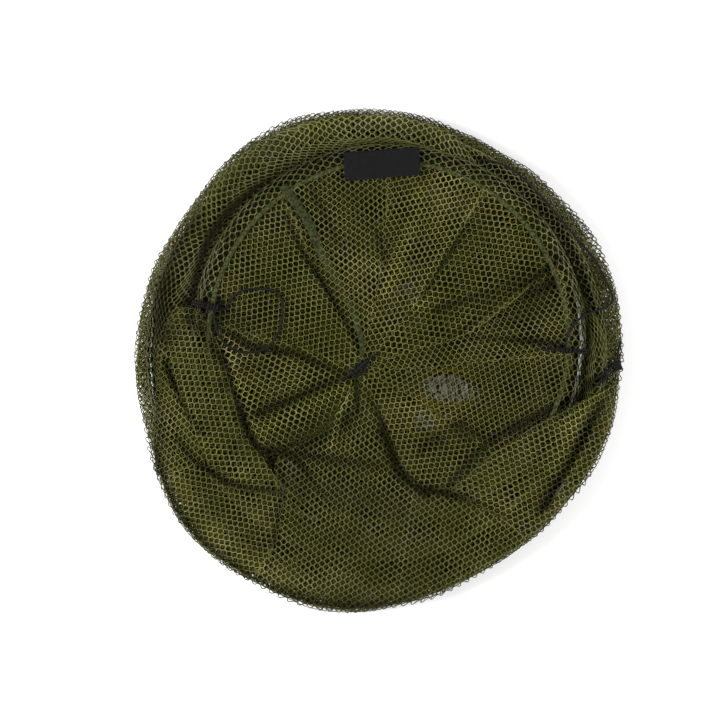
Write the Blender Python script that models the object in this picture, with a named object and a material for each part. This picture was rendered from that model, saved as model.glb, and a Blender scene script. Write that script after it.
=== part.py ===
"""Round folding keepnet, folded flat and lying on its base hoop.

Three equal wire hoops carry a netting tube. A smaller mouth hoop closes it with a throat
net that a cord gathers to one point. Each hoop lies in a net pocket, and each stretch of
netting lies in flat folds between two hoops. Metres, +Z up. The origin is on the surface
that the net lies on, under the middle of the base hoop.
"""

import math

import bmesh
import bpy
from mathutils import Vector

MM = 0.001

# Hoops: sizes of the wire rings, and where they lie when the net is folded
BODY_HOOP_RADIUS = 200 * MM
MOUTH_HOOP_RADIUS = 170 * MM
BODY_WIRE = 3.5 * MM
MOUTH_WIRE = 4.0 * MM
HOOP_PITCH = 10.5 * MM
MOUTH_RISE = 8.5 * MM
MOUTH_SHIFT_X = 10 * MM
MOUTH_SHIFT_Y = 14 * MM
WIRE_END_GAP = 1.0 * MM

# Ferrules: crimped tubes over the two ends of each wire
FERRULE_LENGTH = 22 * MM
FERRULE_WALL = 0.5 * MM
FERRULE_PLAY = 0.35 * MM

# Net pockets (hems) round the hoops, closed by a seam on the inner side
HEM_CLOTH = 0.6 * MM
BODY_SEAM_INSET = 4.0 * MM
MOUTH_SEAM_INSET = 7.0 * MM
SEAM_RISE = 0.9 * MM

# Netting, as plain sheets. Folds are measured inwards from the hoop, and the bulge outwards
NET_CLOTH = 0.8 * MM
GAP = 0.3 * MM
DEEP_FOLD = 100 * MM
SHALLOW_FOLD = 25 * MM
BULGE = 14 * MM
SHOULDER_FOLD = 115 * MM
SHOULDER_TURN = 30 * MM
SHOULDER_LEG_RISE = 2.6 * MM

# Throat net: radial pleats from the mouth seam to the gather
GATHER_X = -16.7 * MM
GATHER_Y = -11.4 * MM
NECK_RADIUS = 4.0 * MM
NECK_HEIGHT = 5.0 * MM
PLEATS = 9
PLEAT_HEIGHT = 1.2 * MM
THROAT_SAG = 0.6 * MM

# Tapes and label
TAPE_WIDTH = 7.0 * MM
TAPE_THICKNESS = 0.8 * MM
SEAM_TAPE_TURN = 120.0
LABEL_WIDTH = 68 * MM
LABEL_HEIGHT = 24.5 * MM
LABEL_THICKNESS = 0.8 * MM
LABEL_TURN = 92.0
LABEL_SLANT = 4.0
LABEL_TILT = 2.0

# Cords
CORD = 2.0 * MM
KNOT = 5.2 * MM
CORD_STEP = 5.0 * MM
LEFT_TIE_TURN = 169.0
RIGHT_TIE_TURN = -3.0
RIM_KNOT_ALONG = -7.0 * MM
RIM_TAIL = 20 * MM

# Facets
RING_STEPS = 36
FERRULE_STEPS = 12
HALF_STEP = math.pi / RING_STEPS

# Turns, in degrees, at which each hoop's wire ends meet
BASE_JOIN = 215
MIDDLE_JOIN = 95
UPPER_JOIN = 325
MOUTH_JOIN = 245

# The free cords' routes in millimetres, each from its knot outwards. Their places across are
# measured from the origin, and their heights from the middle of the hoop that carries them.
RIGHT_CORD_ROUTE = (
    (165.6, 9.2, 5.6),
    (166.6, 16.0, 5.4),
    (169.5, 24.5, 5.4),
    (178.6, 34.3, 6.2),
    (186.5, 38.2, 3.0),
    (194.5, 41.2, -2.0),
    (202.5, 44.5, -3.6),
    (208.0, 49.0, -8.0),
    (207.5, 57.0, -10.4),
    (202.0, 68.0, -10.4),
    (191.8, 87.1, -8.5),
    (169.8, 111.8, -3.5),
    (147.8, 138.2, -3.5),
    (125.8, 160.2, -3.5),
    (108.2, 170.7, -3.5),
    (90.6, 174.4, -3.5),
)
LEFT_CORD_ROUTE = (
    (-137.5, 42.6, 4.0),
    (-133.6, 42.1, 3.7),
    (-128.5, 50.4, 3.3),
    (-119.0, 58.2, 3.3),
    (-105.0, 60.0, 3.3),
    (-92.0, 58.6, 3.3),
    (-84.6, 52.5, 3.3),
    (-82.9, 42.0, 3.3),
    (-84.4, 30.0, 3.3),
    (-88.4, 18.5, 3.3),
    (-96.4, 8.6, 3.3),
    (-107.4, 4.4, 3.3),
    (-122.0, 4.8, 3.3),
    (-134.5, 13.0, 3.3),
    (-141.0, 24.0, 3.6),
    (-143.0, 34.0, 4.6),
    (-143.0, 40.4, 5.2),
)
RIM_CORD_ROUTE = (
    (209.0, -8.4, 0.7),
    (205.6, -10.2, 4.4),
    (201.0, -13.5, 5.7),
    (195.0, -18.0, 4.9),
    (188.0, -22.5, 3.0),
    (178.0, -29.5, 3.0),
    (168.0, -37.0, 3.0),
    (161.0, -43.5, 3.0),
    (159.5, -49.0, 3.0),
    (164.0, -51.5, 3.0),
    (170.0, -47.5, 3.0),
    (180.0, -38.0, 3.0),
    (189.0, -29.5, 3.0),
    (196.5, -23.0, 5.1),
    (202.5, -17.5, 5.6),
    (207.4, -13.2, 3.7),
    (210.3, -10.2, 0.5),
)

# Where each hoop lies
BODY_HEM_HALF = BODY_WIRE / 2 + FERRULE_PLAY + FERRULE_WALL + GAP + HEM_CLOTH
MOUTH_HEM_HALF = MOUTH_WIRE / 2 + FERRULE_PLAY + FERRULE_WALL + GAP + HEM_CLOTH
BASE_PLACE = Vector((0, 0, BODY_HEM_HALF))
MIDDLE_PLACE = BASE_PLACE + Vector((0, 0, HOOP_PITCH))
UPPER_PLACE = MIDDLE_PLACE + Vector((0, 0, HOOP_PITCH))
MOUTH_PLACE = UPPER_PLACE + Vector((MOUTH_SHIFT_X, MOUTH_SHIFT_Y, MOUTH_RISE))

# Colours as sRGB hex, roughness and metallic value of each kind of material
FINISHES = {
    "wire": ("B9BABB", 0.35, 1.0),
    "ferrule": ("A3A5A6", 0.45, 1.0),
    "net": ("5F6634", 0.75, 0.0),
    "tape": ("4A5428", 0.8, 0.0),
    "label": ("1D1E23", 0.7, 0.0),
    "cord": ("1B1A1D", 0.75, 0.0),
}


def clear_scene():
    for obj in list(bpy.data.objects):
        bpy.data.objects.remove(obj, do_unlink=True)


def linear(channel):
    return channel / 12.92 if channel <= 0.04045 else ((channel + 0.055) / 1.055) ** 2.4


def finish(name, kind):
    """A new Principled material for one sub-part."""
    colour, roughness, metallic = FINISHES[kind]
    rgb = [linear(int(colour[i : i + 2], 16) / 255) for i in (0, 2, 4)]
    material = bpy.data.materials.new(name + "_" + kind)
    material.use_nodes = True
    shader = material.node_tree.nodes["Principled BSDF"]
    shader.inputs["Base Color"].default_value = (*rgb, 1)
    shader.inputs["Roughness"].default_value = roughness
    shader.inputs["Metallic"].default_value = metallic
    return material


def place(name, data, kind, parent):
    """An object made of data, in its own finish, carried by parent."""
    obj = bpy.data.objects.new(name, data)
    data.materials.append(finish(name, kind))
    bpy.context.collection.objects.link(obj)
    obj.parent = parent
    return obj


def carrier(name, location):
    """An empty at a hoop's middle, on its slide's axis, which carries the pieces that move with it."""
    empty = bpy.data.objects.new(name, None)
    empty.location = location
    bpy.context.collection.objects.link(empty)
    return empty


def mesh_from(name, bm):
    bmesh.ops.recalc_face_normals(bm, faces=bm.faces)
    mesh = bpy.data.meshes.new(name)
    bm.to_mesh(mesh)
    bm.free()
    mesh.shade_smooth()
    mesh.set_sharp_from_angle(angle=math.radians(30))
    return mesh


def sheet_outline(path, thickness):
    """The closed outline of a strip that follows path, a list of (radius, height, ...) corners.

    What a corner holds after its radius and height goes with it unchanged.
    """
    sides = ([], [])
    for i, (radius, height, *more) in enumerate(path):
        corner = Vector((radius, height))
        ways = []
        if i > 0:
            ways.append((corner - Vector(path[i - 1][:2])).normalized())
        if i < len(path) - 1:
            ways.append((Vector(path[i + 1][:2]) - corner).normalized())
        middle = (ways[0] + ways[-1]).normalized()
        reach = thickness / 2 / max(middle.dot(ways[0]), 0.3)
        offset = Vector((-middle.y, middle.x)) * reach
        sides[0].append((*(corner + offset), *more))
        sides[1].append((*(corner - offset), *more))
    return sides[0] + sides[1][::-1]


def ring_mesh(name, outline, steps=RING_STEPS, pleats=0):
    """A ring whose section is outline: corners of (radius, height, shift_x, shift_y, pleat_height).

    The last three may be left out. They move that corner's circle sideways and wave it up and down.
    """
    bm = bmesh.new()
    circles = []
    for radius, height, *more in outline:
        shift_x, shift_y, wave = more or (0, 0, 0)
        circle = []
        for i in range(steps):
            turn = math.tau * i / steps
            circle.append(
                bm.verts.new(
                    (
                        shift_x + radius * math.cos(turn),
                        shift_y + radius * math.sin(turn),
                        height + wave * math.cos(pleats * turn),
                    )
                )
            )
        circles.append(circle)
    for circle, following in zip(circles, circles[1:] + circles[:1]):
        for i in range(steps):
            j = (i + 1) % steps
            bm.faces.new((circle[i], circle[j], following[j], following[i]))
    return mesh_from(name, bm)


def smooth_route(points, step):
    """Points about one step apart on a smooth curve through the given ones, ends included."""
    found = [points[0]]
    last = len(points) - 1
    for i in range(last):
        before, start = points[max(i - 1, 0)], points[i]
        end, after = points[i + 1], points[min(i + 2, last)]
        pieces = max(1, round((end - start).length / step))
        for k in range(1, pieces + 1):
            t = k / pieces
            found.append(
                0.5
                * (
                    2 * start
                    + (end - before) * t
                    + (2 * before - 5 * start + 4 * end - after) * t**2
                    + (3 * start - before - 3 * end + after) * t**3
                )
            )
    return found


def tube(name, points, diameter, kind, parent, swell=None):
    """A round tube along points, which are in the parent's own frame.

    swell, if given, holds one multiple of the diameter for each point.
    """
    curve = bpy.data.curves.new(name, "CURVE")
    curve.dimensions = "3D"
    curve.bevel_depth = diameter / 2
    curve.bevel_resolution = 2
    curve.use_fill_caps = True
    spline = curve.splines.new("POLY")
    spline.points.add(len(points) - 1)
    for i, point in enumerate(points):
        spline.points[i].co = (*point, 1)
        spline.points[i].radius = swell[i] if swell else 1
    return place(name, curve, kind, parent)


def cord(name, route, parent):
    """A free cord through one of the routes above."""
    middle = Vector((parent.location.x, parent.location.y, 0))
    points = [Vector(p) * MM - middle for p in route]
    return tube(name, smooth_route(points, CORD_STEP), CORD, "cord", parent)


def pocket_reach(wire):
    """From a wire's middle line to the middle of the cloth that is wrapped round it."""
    return wire / 2 + FERRULE_PLAY + FERRULE_WALL + GAP + HEM_CLOTH / 2


def seam_radius(hoop_radius, wire, inset):
    """Where a hem's two edges end, inside its hoop."""
    return hoop_radius - pocket_reach(wire) / math.cos(math.pi / 6) - inset


BODY_SEAM = seam_radius(BODY_HOOP_RADIUS, BODY_WIRE, BODY_SEAM_INSET)
MOUTH_SEAM = seam_radius(MOUTH_HOOP_RADIUS, MOUTH_WIRE, MOUTH_SEAM_INSET)
THROAT_EDGE = MOUTH_SEAM - GAP


def hoop(name, radius, wire, join, parent):
    """A wire bent round, with its two ends a little apart in the middle of a facet."""
    start = math.radians(join)
    open_half = math.asin(WIRE_END_GAP / 2 / radius)
    chord = radius * math.cos(HALF_STEP) / math.cos(open_half)
    places = [(chord, start + open_half)]
    places += [(radius, start + HALF_STEP + math.tau * k / RING_STEPS) for k in range(RING_STEPS)]
    places += [(chord, start - open_half)]
    points = [Vector((r * math.cos(turn), r * math.sin(turn), 0)) for r, turn in places]
    return tube(name, points, wire, "wire", parent)


def ferrule(name, radius, wire, join, parent):
    """A short tube over the wire's two ends."""
    inner = wire / 2 + FERRULE_PLAY
    outer = inner + FERRULE_WALL
    half = FERRULE_LENGTH / 2
    outline = [(inner, -half), (outer, -half), (outer, half), (inner, half)]
    obj = place(name, ring_mesh(name, outline, FERRULE_STEPS), "ferrule", parent)
    turn = math.radians(join)
    middle = radius * math.cos(HALF_STEP)
    obj.location = (middle * math.cos(turn), middle * math.sin(turn), 0)
    obj.rotation_euler = (-math.pi / 2, 0, turn)
    return obj


def hem(name, radius, wire, inset, parent):
    """A net pocket wrapped round a hoop, six-sided in section, its edges held apart at the seam."""
    reach = pocket_reach(wire)
    corner = reach / math.cos(math.pi / 6)
    half_flat = corner / 2
    seam = seam_radius(radius, wire, inset)
    path = [
        (seam, SEAM_RISE),
        (radius - half_flat, reach),
        (radius + half_flat, reach),
        (radius + corner, 0),
        (radius + half_flat, -reach),
        (radius - half_flat, -reach),
        (seam, -SEAM_RISE),
    ]
    return place(name, ring_mesh(name, sheet_outline(path, HEM_CLOTH)), "net", parent)


def base_net(parent):
    """The flat net that closes the bottom."""
    bm = bmesh.new()
    edge = BODY_SEAM - GAP
    bmesh.ops.create_cone(
        bm, cap_ends=True, segments=RING_STEPS, radius1=edge, radius2=edge, depth=NET_CLOTH
    )
    obj = place("base_net", mesh_from("base_net", bm), "net", parent)
    obj.location.z = -SEAM_RISE
    return obj


def sleeve(name, parent):
    """Netting between two body hoops, folded flat: in deep, out past the rim, in a little and back."""
    edge = BODY_SEAM - GAP
    above_hem = BODY_HEM_HALF + GAP + NET_CLOTH / 2
    levels = (SEAM_RISE, above_hem, HOOP_PITCH - above_hem, HOOP_PITCH - SEAM_RISE)
    deep, bulge, shallow = (BODY_HOOP_RADIUS + reach for reach in (-DEEP_FOLD, BULGE, -SHALLOW_FOLD))
    turns = (edge, deep, bulge, shallow, edge)
    path = []
    for level, start, end in zip(levels, turns, turns[1:]):
        path += [(start, level - HOOP_PITCH), (end, level - HOOP_PITCH)]
    return place(name, ring_mesh(name, sheet_outline(path, NET_CLOTH)), "net", parent)


def shoulder_sleeve(parent):
    """Netting from the upper hoop, in under the mouth hoop, and out again to the mouth seam."""
    low = -MOUTH_RISE + SEAM_RISE
    body = (-MOUTH_SHIFT_X, -MOUTH_SHIFT_Y, 0)
    halfway = (-MOUTH_SHIFT_X / 2, -MOUTH_SHIFT_Y / 2, 0)
    mouth = (0, 0, 0)
    fold_radius = BODY_HOOP_RADIUS - SHOULDER_FOLD
    turn_radius = MOUTH_HOOP_RADIUS - SHOULDER_TURN
    path = [
        (BODY_SEAM - GAP, low, *body),
        (fold_radius, low, *halfway),
        (fold_radius, low + SHOULDER_LEG_RISE, *halfway),
        (turn_radius, low + SHOULDER_LEG_RISE, *mouth),
        (THROAT_EDGE, -SEAM_RISE, *mouth),
    ]
    outline = sheet_outline(path, NET_CLOTH)
    return place("shoulder_sleeve", ring_mesh("shoulder_sleeve", outline), "net", parent)


def throat_corner(share, sag=0.0, pleat=0.0):
    """A corner of the throat's path, this share of the way from the mouth seam to the neck."""
    radius = THROAT_EDGE + (NECK_RADIUS - THROAT_EDGE) * share
    shift_x = (GATHER_X - MOUTH_PLACE.x) * share
    shift_y = (GATHER_Y - MOUTH_PLACE.y) * share
    return (radius, SEAM_RISE - sag, shift_x, shift_y, pleat)


UNDER_TAPE = (TAPE_WIDTH + 2 * GAP) / THROAT_EDGE
THROAT_PATH = (
    throat_corner(0),
    throat_corner(UNDER_TAPE),
    throat_corner(0.3, THROAT_SAG, PLEAT_HEIGHT),
    throat_corner(0.7, THROAT_SAG, PLEAT_HEIGHT),
    throat_corner(0.9, 0, PLEAT_HEIGHT / 2),
    throat_corner(1),
)


def throat_net(parent):
    """The closing net: pleats that run together into an upright neck."""
    tip = list(throat_corner(1))
    tip[1] += NECK_HEIGHT
    outline = sheet_outline([*THROAT_PATH, tuple(tip)], NET_CLOTH)
    mesh = ring_mesh("throat_net", outline, pleats=PLEATS)
    return place("throat_net", mesh, "net", parent)


def mouth_tape(parent):
    """Binding tape over the mouth seam."""
    low = SEAM_RISE + NET_CLOTH / 2 + GAP
    outline = [
        (THROAT_EDGE - TAPE_WIDTH, low),
        (THROAT_EDGE, low),
        (THROAT_EDGE, low + TAPE_THICKNESS),
        (THROAT_EDGE - TAPE_WIDTH, low + TAPE_THICKNESS),
    ]
    return place("mouth_tape", ring_mesh("mouth_tape", outline), "tape", parent)


def throat_seam_tape(parent):
    """A ribbon along one pleat's crest, from the binding tape to the neck, narrower there."""
    turn = math.radians(SEAM_TAPE_TURN)
    across = Vector((-math.sin(turn), math.cos(turn), 0)) * TAPE_WIDTH / 2
    lift = NET_CLOTH / 2 + GAP
    bm = bmesh.new()
    sections = []
    for radius, height, shift_x, shift_y, pleat in THROAT_PATH[1:5]:
        crest = height + pleat * math.cos(PLEATS * turn) + lift
        middle = Vector(
            (shift_x + radius * math.cos(turn), shift_y + radius * math.sin(turn), crest)
        )
        taper = min(1, radius / (3 * TAPE_WIDTH))
        top = Vector((0, 0, TAPE_THICKNESS))
        corners = (
            middle - across * taper,
            middle + across * taper,
            middle + across * taper + top,
            middle - across * taper + top,
        )
        sections.append([bm.verts.new(corner) for corner in corners])
    for section, following in zip(sections, sections[1:]):
        for i in range(4):
            j = (i + 1) % 4
            bm.faces.new((section[i], section[j], following[j], following[i]))
    bm.faces.new(sections[0])
    bm.faces.new(sections[-1])
    name = "throat_seam_tape"
    return place(name, mesh_from(name, bm), "tape", parent)


def label(parent):
    """A blank woven patch that lies over the tape and the hem."""
    bm = bmesh.new()
    bmesh.ops.create_cube(bm, size=1)
    bmesh.ops.scale(bm, verts=bm.verts, vec=(LABEL_WIDTH, LABEL_HEIGHT, LABEL_THICKNESS))
    obj = place("label", mesh_from("label", bm), "label", parent)
    turn = math.radians(LABEL_TURN)
    tilt = math.radians(LABEL_TILT)
    outer = MOUTH_HOOP_RADIUS - LABEL_THICKNESS
    out = outer - LABEL_HEIGHT / 2
    up = MOUTH_HEM_HALF + GAP + LABEL_THICKNESS / 2
    obj.location = (out * math.cos(turn), out * math.sin(turn), up)
    obj.rotation_euler = (tilt, 0, math.radians(LABEL_SLANT))
    return obj


def drawstring_tie(parent):
    """One turn of cord round the throat's neck."""
    inner = NECK_RADIUS + NET_CLOTH / 2 + GAP
    middle = inner + CORD / 2
    outline = [
        (
            middle + CORD / 2 * math.cos(math.tau * k / 8),
            CORD / 2 * math.sin(math.tau * k / 8),
        )
        for k in range(8)
    ]
    obj = place("drawstring_tie", ring_mesh("drawstring_tie", outline, 16), "cord", parent)
    obj.location = (GATHER_X - MOUTH_PLACE.x, GATHER_Y - MOUTH_PLACE.y, neck_cord_height())
    return obj


def neck_cord_height():
    return SEAM_RISE + NET_CLOTH / 2 + NECK_HEIGHT * 0.6


def drawstring_knot(parent):
    """The knot beside the neck, with its short tail."""
    way = Vector((math.cos(math.radians(43)), math.sin(math.radians(43)), 0))
    start = NECK_RADIUS + NET_CLOTH / 2 + CORD + 2 * GAP
    reaches = (0.0, 0.35, 1.2, 2.2, 3.6, 6.0)
    swell = [0.8, 1.7, 2.3, 1.7, 1.0, 1.0]
    middle = Vector((GATHER_X - MOUTH_PLACE.x, GATHER_Y - MOUTH_PLACE.y, neck_cord_height()))
    points = [middle + way * (start + CORD * reach) for reach in reaches]
    return tube("drawstring_knot", points, CORD, "cord", parent, swell)


def hoop_knot(name, turn, tail, parent):
    """Cord wrapped over the mouth hem from outside, with a knot on the tape and a tail inwards."""
    out = pocket_reach(MOUTH_WIRE) / math.cos(math.pi / 6) + HEM_CLOTH + GAP + CORD / 2
    over = MOUTH_HEM_HALF + 2 * GAP + CORD / 2
    tape_top = SEAM_RISE + NET_CLOTH / 2 + GAP + TAPE_THICKNESS
    on_tape = THROAT_EDGE - TAPE_WIDTH / 2 - MOUTH_HOOP_RADIUS
    lump = tape_top + GAP + KNOT / 2
    offsets = (
        (out, -SEAM_RISE, 1),
        (out, over / 2, 1),
        (out - CORD * 0.8, over, 1),
        (0, over, 1),
        (on_tape / 2, lump, 1),
        (on_tape + KNOT * 0.6, lump, 1.2),
        (on_tape + KNOT * 0.3, lump, KNOT / CORD * 0.9),
        (on_tape, lump, KNOT / CORD),
        (on_tape - KNOT * 0.3, lump, KNOT / CORD * 0.9),
        (on_tape - KNOT * 0.6, lump, 1.2),
        (on_tape - KNOT * 0.6 - tail / 2, lump - KNOT / 6, 1),
        (on_tape - KNOT * 0.6 - tail, lump - KNOT / 4, 1),
    )
    angle = math.radians(turn)
    points = []
    for offset, height, _ in offsets:
        radius = MOUTH_HOOP_RADIUS + offset
        points.append(Vector((radius * math.cos(angle), radius * math.sin(angle), height)))
    return tube(name, points, CORD, "cord", parent, [entry[2] for entry in offsets])


def rim_knot(parent):
    """The knot beside the upper hoop's rim, on the net's bulge, with its tail along the rim."""
    radius = BODY_HOOP_RADIUS + BULGE - KNOT * 0.4
    fold_top = GAP - BODY_HEM_HALF
    lump = fold_top + KNOT / 2
    tail = fold_top + CORD / 2
    stretch = (
        (RIM_KNOT_ALONG, lump, KNOT / CORD),
        (RIM_KNOT_ALONG + KNOT * 0.7, (lump + tail) / 2, KNOT / CORD * 0.5),
        (RIM_KNOT_ALONG + RIM_TAIL / 2, tail, 1),
        (RIM_KNOT_ALONG + RIM_TAIL, tail, 1),
    )
    points = []
    for along, height, _ in stretch:
        turn = along / radius
        points.append(Vector((radius * math.cos(turn), radius * math.sin(turn), height)))
    return tube("rim_knot", points, CORD, "cord", parent, [entry[2] for entry in stretch])


def build():
    clear_scene()
    base = carrier("base_carrier", BASE_PLACE)
    middle = carrier("middle_carrier", MIDDLE_PLACE)
    upper = carrier("upper_carrier", UPPER_PLACE)
    mouth = carrier("mouth_carrier", MOUTH_PLACE)

    rings = (
        ("base", BODY_HOOP_RADIUS, BODY_WIRE, BODY_SEAM_INSET, BASE_JOIN, base),
        ("middle", BODY_HOOP_RADIUS, BODY_WIRE, BODY_SEAM_INSET, MIDDLE_JOIN, middle),
        ("upper", BODY_HOOP_RADIUS, BODY_WIRE, BODY_SEAM_INSET, UPPER_JOIN, upper),
        ("mouth", MOUTH_HOOP_RADIUS, MOUTH_WIRE, MOUTH_SEAM_INSET, MOUTH_JOIN, mouth),
    )
    for name, radius, wire, inset, join, parent in rings:
        hoop(name + "_hoop", radius, wire, join, parent)
        ferrule(name + "_hoop_ferrule", radius, wire, join, parent)
        hem(name + "_hem", radius, wire, inset, parent)

    base_net(base)
    sleeve("lower_sleeve", middle)
    sleeve("middle_sleeve", upper)
    shoulder_sleeve(mouth)
    throat_net(mouth)
    mouth_tape(mouth)
    throat_seam_tape(mouth)
    label(mouth)
    drawstring_tie(mouth)
    drawstring_knot(mouth)

    hoop_knot("left_knot", LEFT_TIE_TURN, 1 * MM, mouth)
    hoop_knot("right_knot", RIGHT_TIE_TURN, 18 * MM, mouth)
    rim_knot(upper)
    cord("left_cord", LEFT_CORD_ROUTE, mouth)
    cord("right_cord", RIGHT_CORD_ROUTE, mouth)
    cord("rim_cord", RIM_CORD_ROUTE, upper)


build()
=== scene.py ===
# %% [markdown]
# # A folding keepnet, lying folded flat
#
# The object is a tube of fine netting on three wire hoops, with a smaller mouth hoop on top.
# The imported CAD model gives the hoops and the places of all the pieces. This lesson adds what
# the CAD model leaves out: real thread, folds, woven tape, a label and tied cords. Lengths are
# in millimetres until a mesh is made, and then in metres.

# %% Load the frame
import math

import bmesh
import bpy
import numpy as np
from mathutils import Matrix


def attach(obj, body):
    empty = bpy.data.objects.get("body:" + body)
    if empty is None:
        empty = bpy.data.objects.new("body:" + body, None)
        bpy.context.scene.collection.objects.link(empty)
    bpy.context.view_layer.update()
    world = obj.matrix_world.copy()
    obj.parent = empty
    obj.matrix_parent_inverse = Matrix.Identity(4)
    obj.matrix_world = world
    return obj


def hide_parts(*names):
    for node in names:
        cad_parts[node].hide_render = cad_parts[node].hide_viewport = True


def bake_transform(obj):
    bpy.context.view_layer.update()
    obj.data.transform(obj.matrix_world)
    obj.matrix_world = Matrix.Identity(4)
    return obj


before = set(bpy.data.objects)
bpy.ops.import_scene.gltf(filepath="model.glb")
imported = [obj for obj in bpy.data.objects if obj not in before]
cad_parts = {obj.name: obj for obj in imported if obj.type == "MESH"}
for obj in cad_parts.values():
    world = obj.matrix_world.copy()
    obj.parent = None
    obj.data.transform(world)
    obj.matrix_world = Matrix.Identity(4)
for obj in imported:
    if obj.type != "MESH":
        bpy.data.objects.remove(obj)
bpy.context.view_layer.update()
MM = 0.001

# %% [markdown]
# ## Places
#
# The photograph was taken from straight above, so a pixel and a height give a place. One
# pixel covers 0.88 mm of the net, and the origin lies under pixel (377, 357).

# %% From pixels to millimetres
PHOTO_SIDE = 724
PIXEL = 0.88
ORIGIN_PIXEL = (377, 357)


def seen(px, py, height):
    """The place in millimetres of a pixel of the photograph, at a height above the floor."""
    return ((px - ORIGIN_PIXEL[0]) * PIXEL, (ORIGIN_PIXEL[1] - py) * PIXEL, height)


def traced(marks):
    """The places of a line of marks, each a pixel and a height."""
    return [seen(*mark) for mark in marks]


def polar(radius, degrees, height, middle=(0.0, 0.0)):
    """The place at that radius, turn and height, round a middle."""
    turn = math.radians(degrees)
    return (middle[0] + radius * math.cos(turn), middle[1] + radius * math.sin(turn), height)


# %% The hoops' places
BODY_RADIUS = 200.0
MOUTH_RADIUS = 170.0
BASE_HEIGHT = 3.5
MIDDLE_HEIGHT = 14.0
UPPER_HEIGHT = 24.5
MOUTH_HEIGHT = 33.0
MOUTH_MIDDLE = np.array((10.0, 14.0))
GATHER = np.array(seen(360, 369, 0)[:2])
BODY_SEAM = 192.3
MOUTH_SEAM = 158.9
TAPE_WIDTH = 4.0

# %% [markdown]
# ## One helper for node trees
#
# Materials and Geometry Nodes are both node trees, so one small helper serves both: it adds a
# node, makes its settings and joins or fills its inputs. A node that is given as a value
# stands for its first output. Two more helpers work out a pattern's scale from a real size,
# because a wave pattern of scale 1 repeats every 0.314 m, and the spots of a noise pattern of
# scale 1 are about a metre wide.

# %% Add a node
MATH = "ShaderNodeMath"
VECTOR_MATH = "ShaderNodeVectorMath"
NOISE = "ShaderNodeTexNoise"
MIX = "ShaderNodeMix"
JOIN_XYZ = "ShaderNodeCombineXYZ"
SPLIT_XYZ = "ShaderNodeSeparateXYZ"


def fill(tree, node, inputs):
    """Joins a node's inputs to others' outputs, or fills them in. A node is its first output."""
    for name, value in inputs.items():
        if isinstance(value, bpy.types.Node):
            value = value.outputs[0]
        if isinstance(value, bpy.types.NodeSocket):
            tree.links.new(value, node.inputs[name])
        else:
            node.inputs[name].default_value = value


def add(tree, kind, inputs=None, **settings):
    """A new node of that kind, with its settings made and its inputs filled in or joined."""
    node = tree.nodes.new(kind)
    for name, value in settings.items():
        setattr(node, name, value)
    fill(tree, node, inputs or {})
    return node


def colour(code):
    """An sRGB hex code as the linear colour that a shader takes."""
    channels = [int(code[i : i + 2], 16) / 255 for i in (0, 2, 4)]
    linear = [c / 12.92 if c <= 0.04045 else ((c + 0.055) / 1.055) ** 2.4 for c in channels]
    return (*linear, 1)


def shader_tree(name, **fixed):
    """A new material, its tree and its Principled shader, whose plain values are set here."""
    material = bpy.data.materials.new(name)
    material.use_nodes = True
    shader = material.node_tree.nodes["Principled BSDF"]
    for socket, value in fixed.items():
        shader.inputs[socket].default_value = value
    return material, material.node_tree, shader


def surface(tree, shader, tint, height, strength, depth=0.3):
    """Joins a colour to the shader, and a pattern that stands out by depth millimetres."""
    relief = {"Height": height, "Strength": strength, "Distance": depth * MM}
    bump = add(tree, "ShaderNodeBump", relief)
    fill(tree, shader, {"Base Color": tint, "Normal": bump})


def waves_every(spacing):
    """The scale of a wave pattern that repeats every so many millimetres."""
    return math.pi / 10 / (spacing * MM)


def spots_of(size):
    """The scale of a noise pattern whose spots are about so many millimetres wide."""
    return 1 / (size * MM)


def into_scene(name, data):
    """A new object that holds the data, linked into the scene."""
    made = bpy.data.objects.new(name, data)
    bpy.context.collection.objects.link(made)
    return made


# %% [markdown]
# ## The camera, the floor and the light
#
# The photograph is a product picture from straight above on a white sheet. A long lens two
# metres up gives the same flat view. The light is two soft boxes and a white world.

# %% Camera
CAMERA_HEIGHT = 2000.0
SENSOR = 36.0
NET_LEVEL = 33.0
VIEW_DEPTH = 20

lens = bpy.data.cameras.new("camera")
lens.sensor_width = SENSOR
lens.sensor_fit = "HORIZONTAL"
lens.lens = SENSOR * (CAMERA_HEIGHT - NET_LEVEL) / (PHOTO_SIDE * PIXEL)
lens.clip_end = VIEW_DEPTH
camera = into_scene("camera", lens)
camera.location = [value * MM for value in seen(PHOTO_SIDE / 2, PHOTO_SIDE / 2, CAMERA_HEIGHT)]
bpy.context.scene.camera = camera
bpy.context.scene.view_settings.view_transform = "Standard"
print("lens", round(lens.lens, 1), "mm")

# %% Floor
FLOOR_SIDE = 2400.0
SHADOW_LIFT = 0.06
WHITE = (1, 1, 1, 1)

corner = FLOOR_SIDE / 2 * MM
floor_corners = [(x * corner, y * corner, 0) for x, y in ((-1, -1), (1, -1), (1, 1), (-1, 1))]
floor_mesh = bpy.data.meshes.new("floor")
floor_mesh.from_pydata(floor_corners, [], [(0, 1, 2, 3)])
floor = into_scene("floor", floor_mesh)

white_sheet, tree, shader = shader_tree("white sheet", Roughness=0.9)
to_camera = add(tree, "ShaderNodeLightPath").outputs["Is Camera Ray"]
lift = add(tree, MATH, {0: to_camera, 1: SHADOW_LIFT}, operation="MULTIPLY")
glow = {"Emission Color": WHITE, "Emission Strength": lift}
fill(tree, shader, {"Base Color": colour("FCFCFC"), **glow})
floor_mesh.materials.append(white_sheet)

# %% Light
WORLD_LEVEL = 0.45
LAMP_SIDE = 0.9
LAMP_AWAY, LAMP_BACK, LAMP_UP = 1.6, 0.05, 1.1

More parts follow.
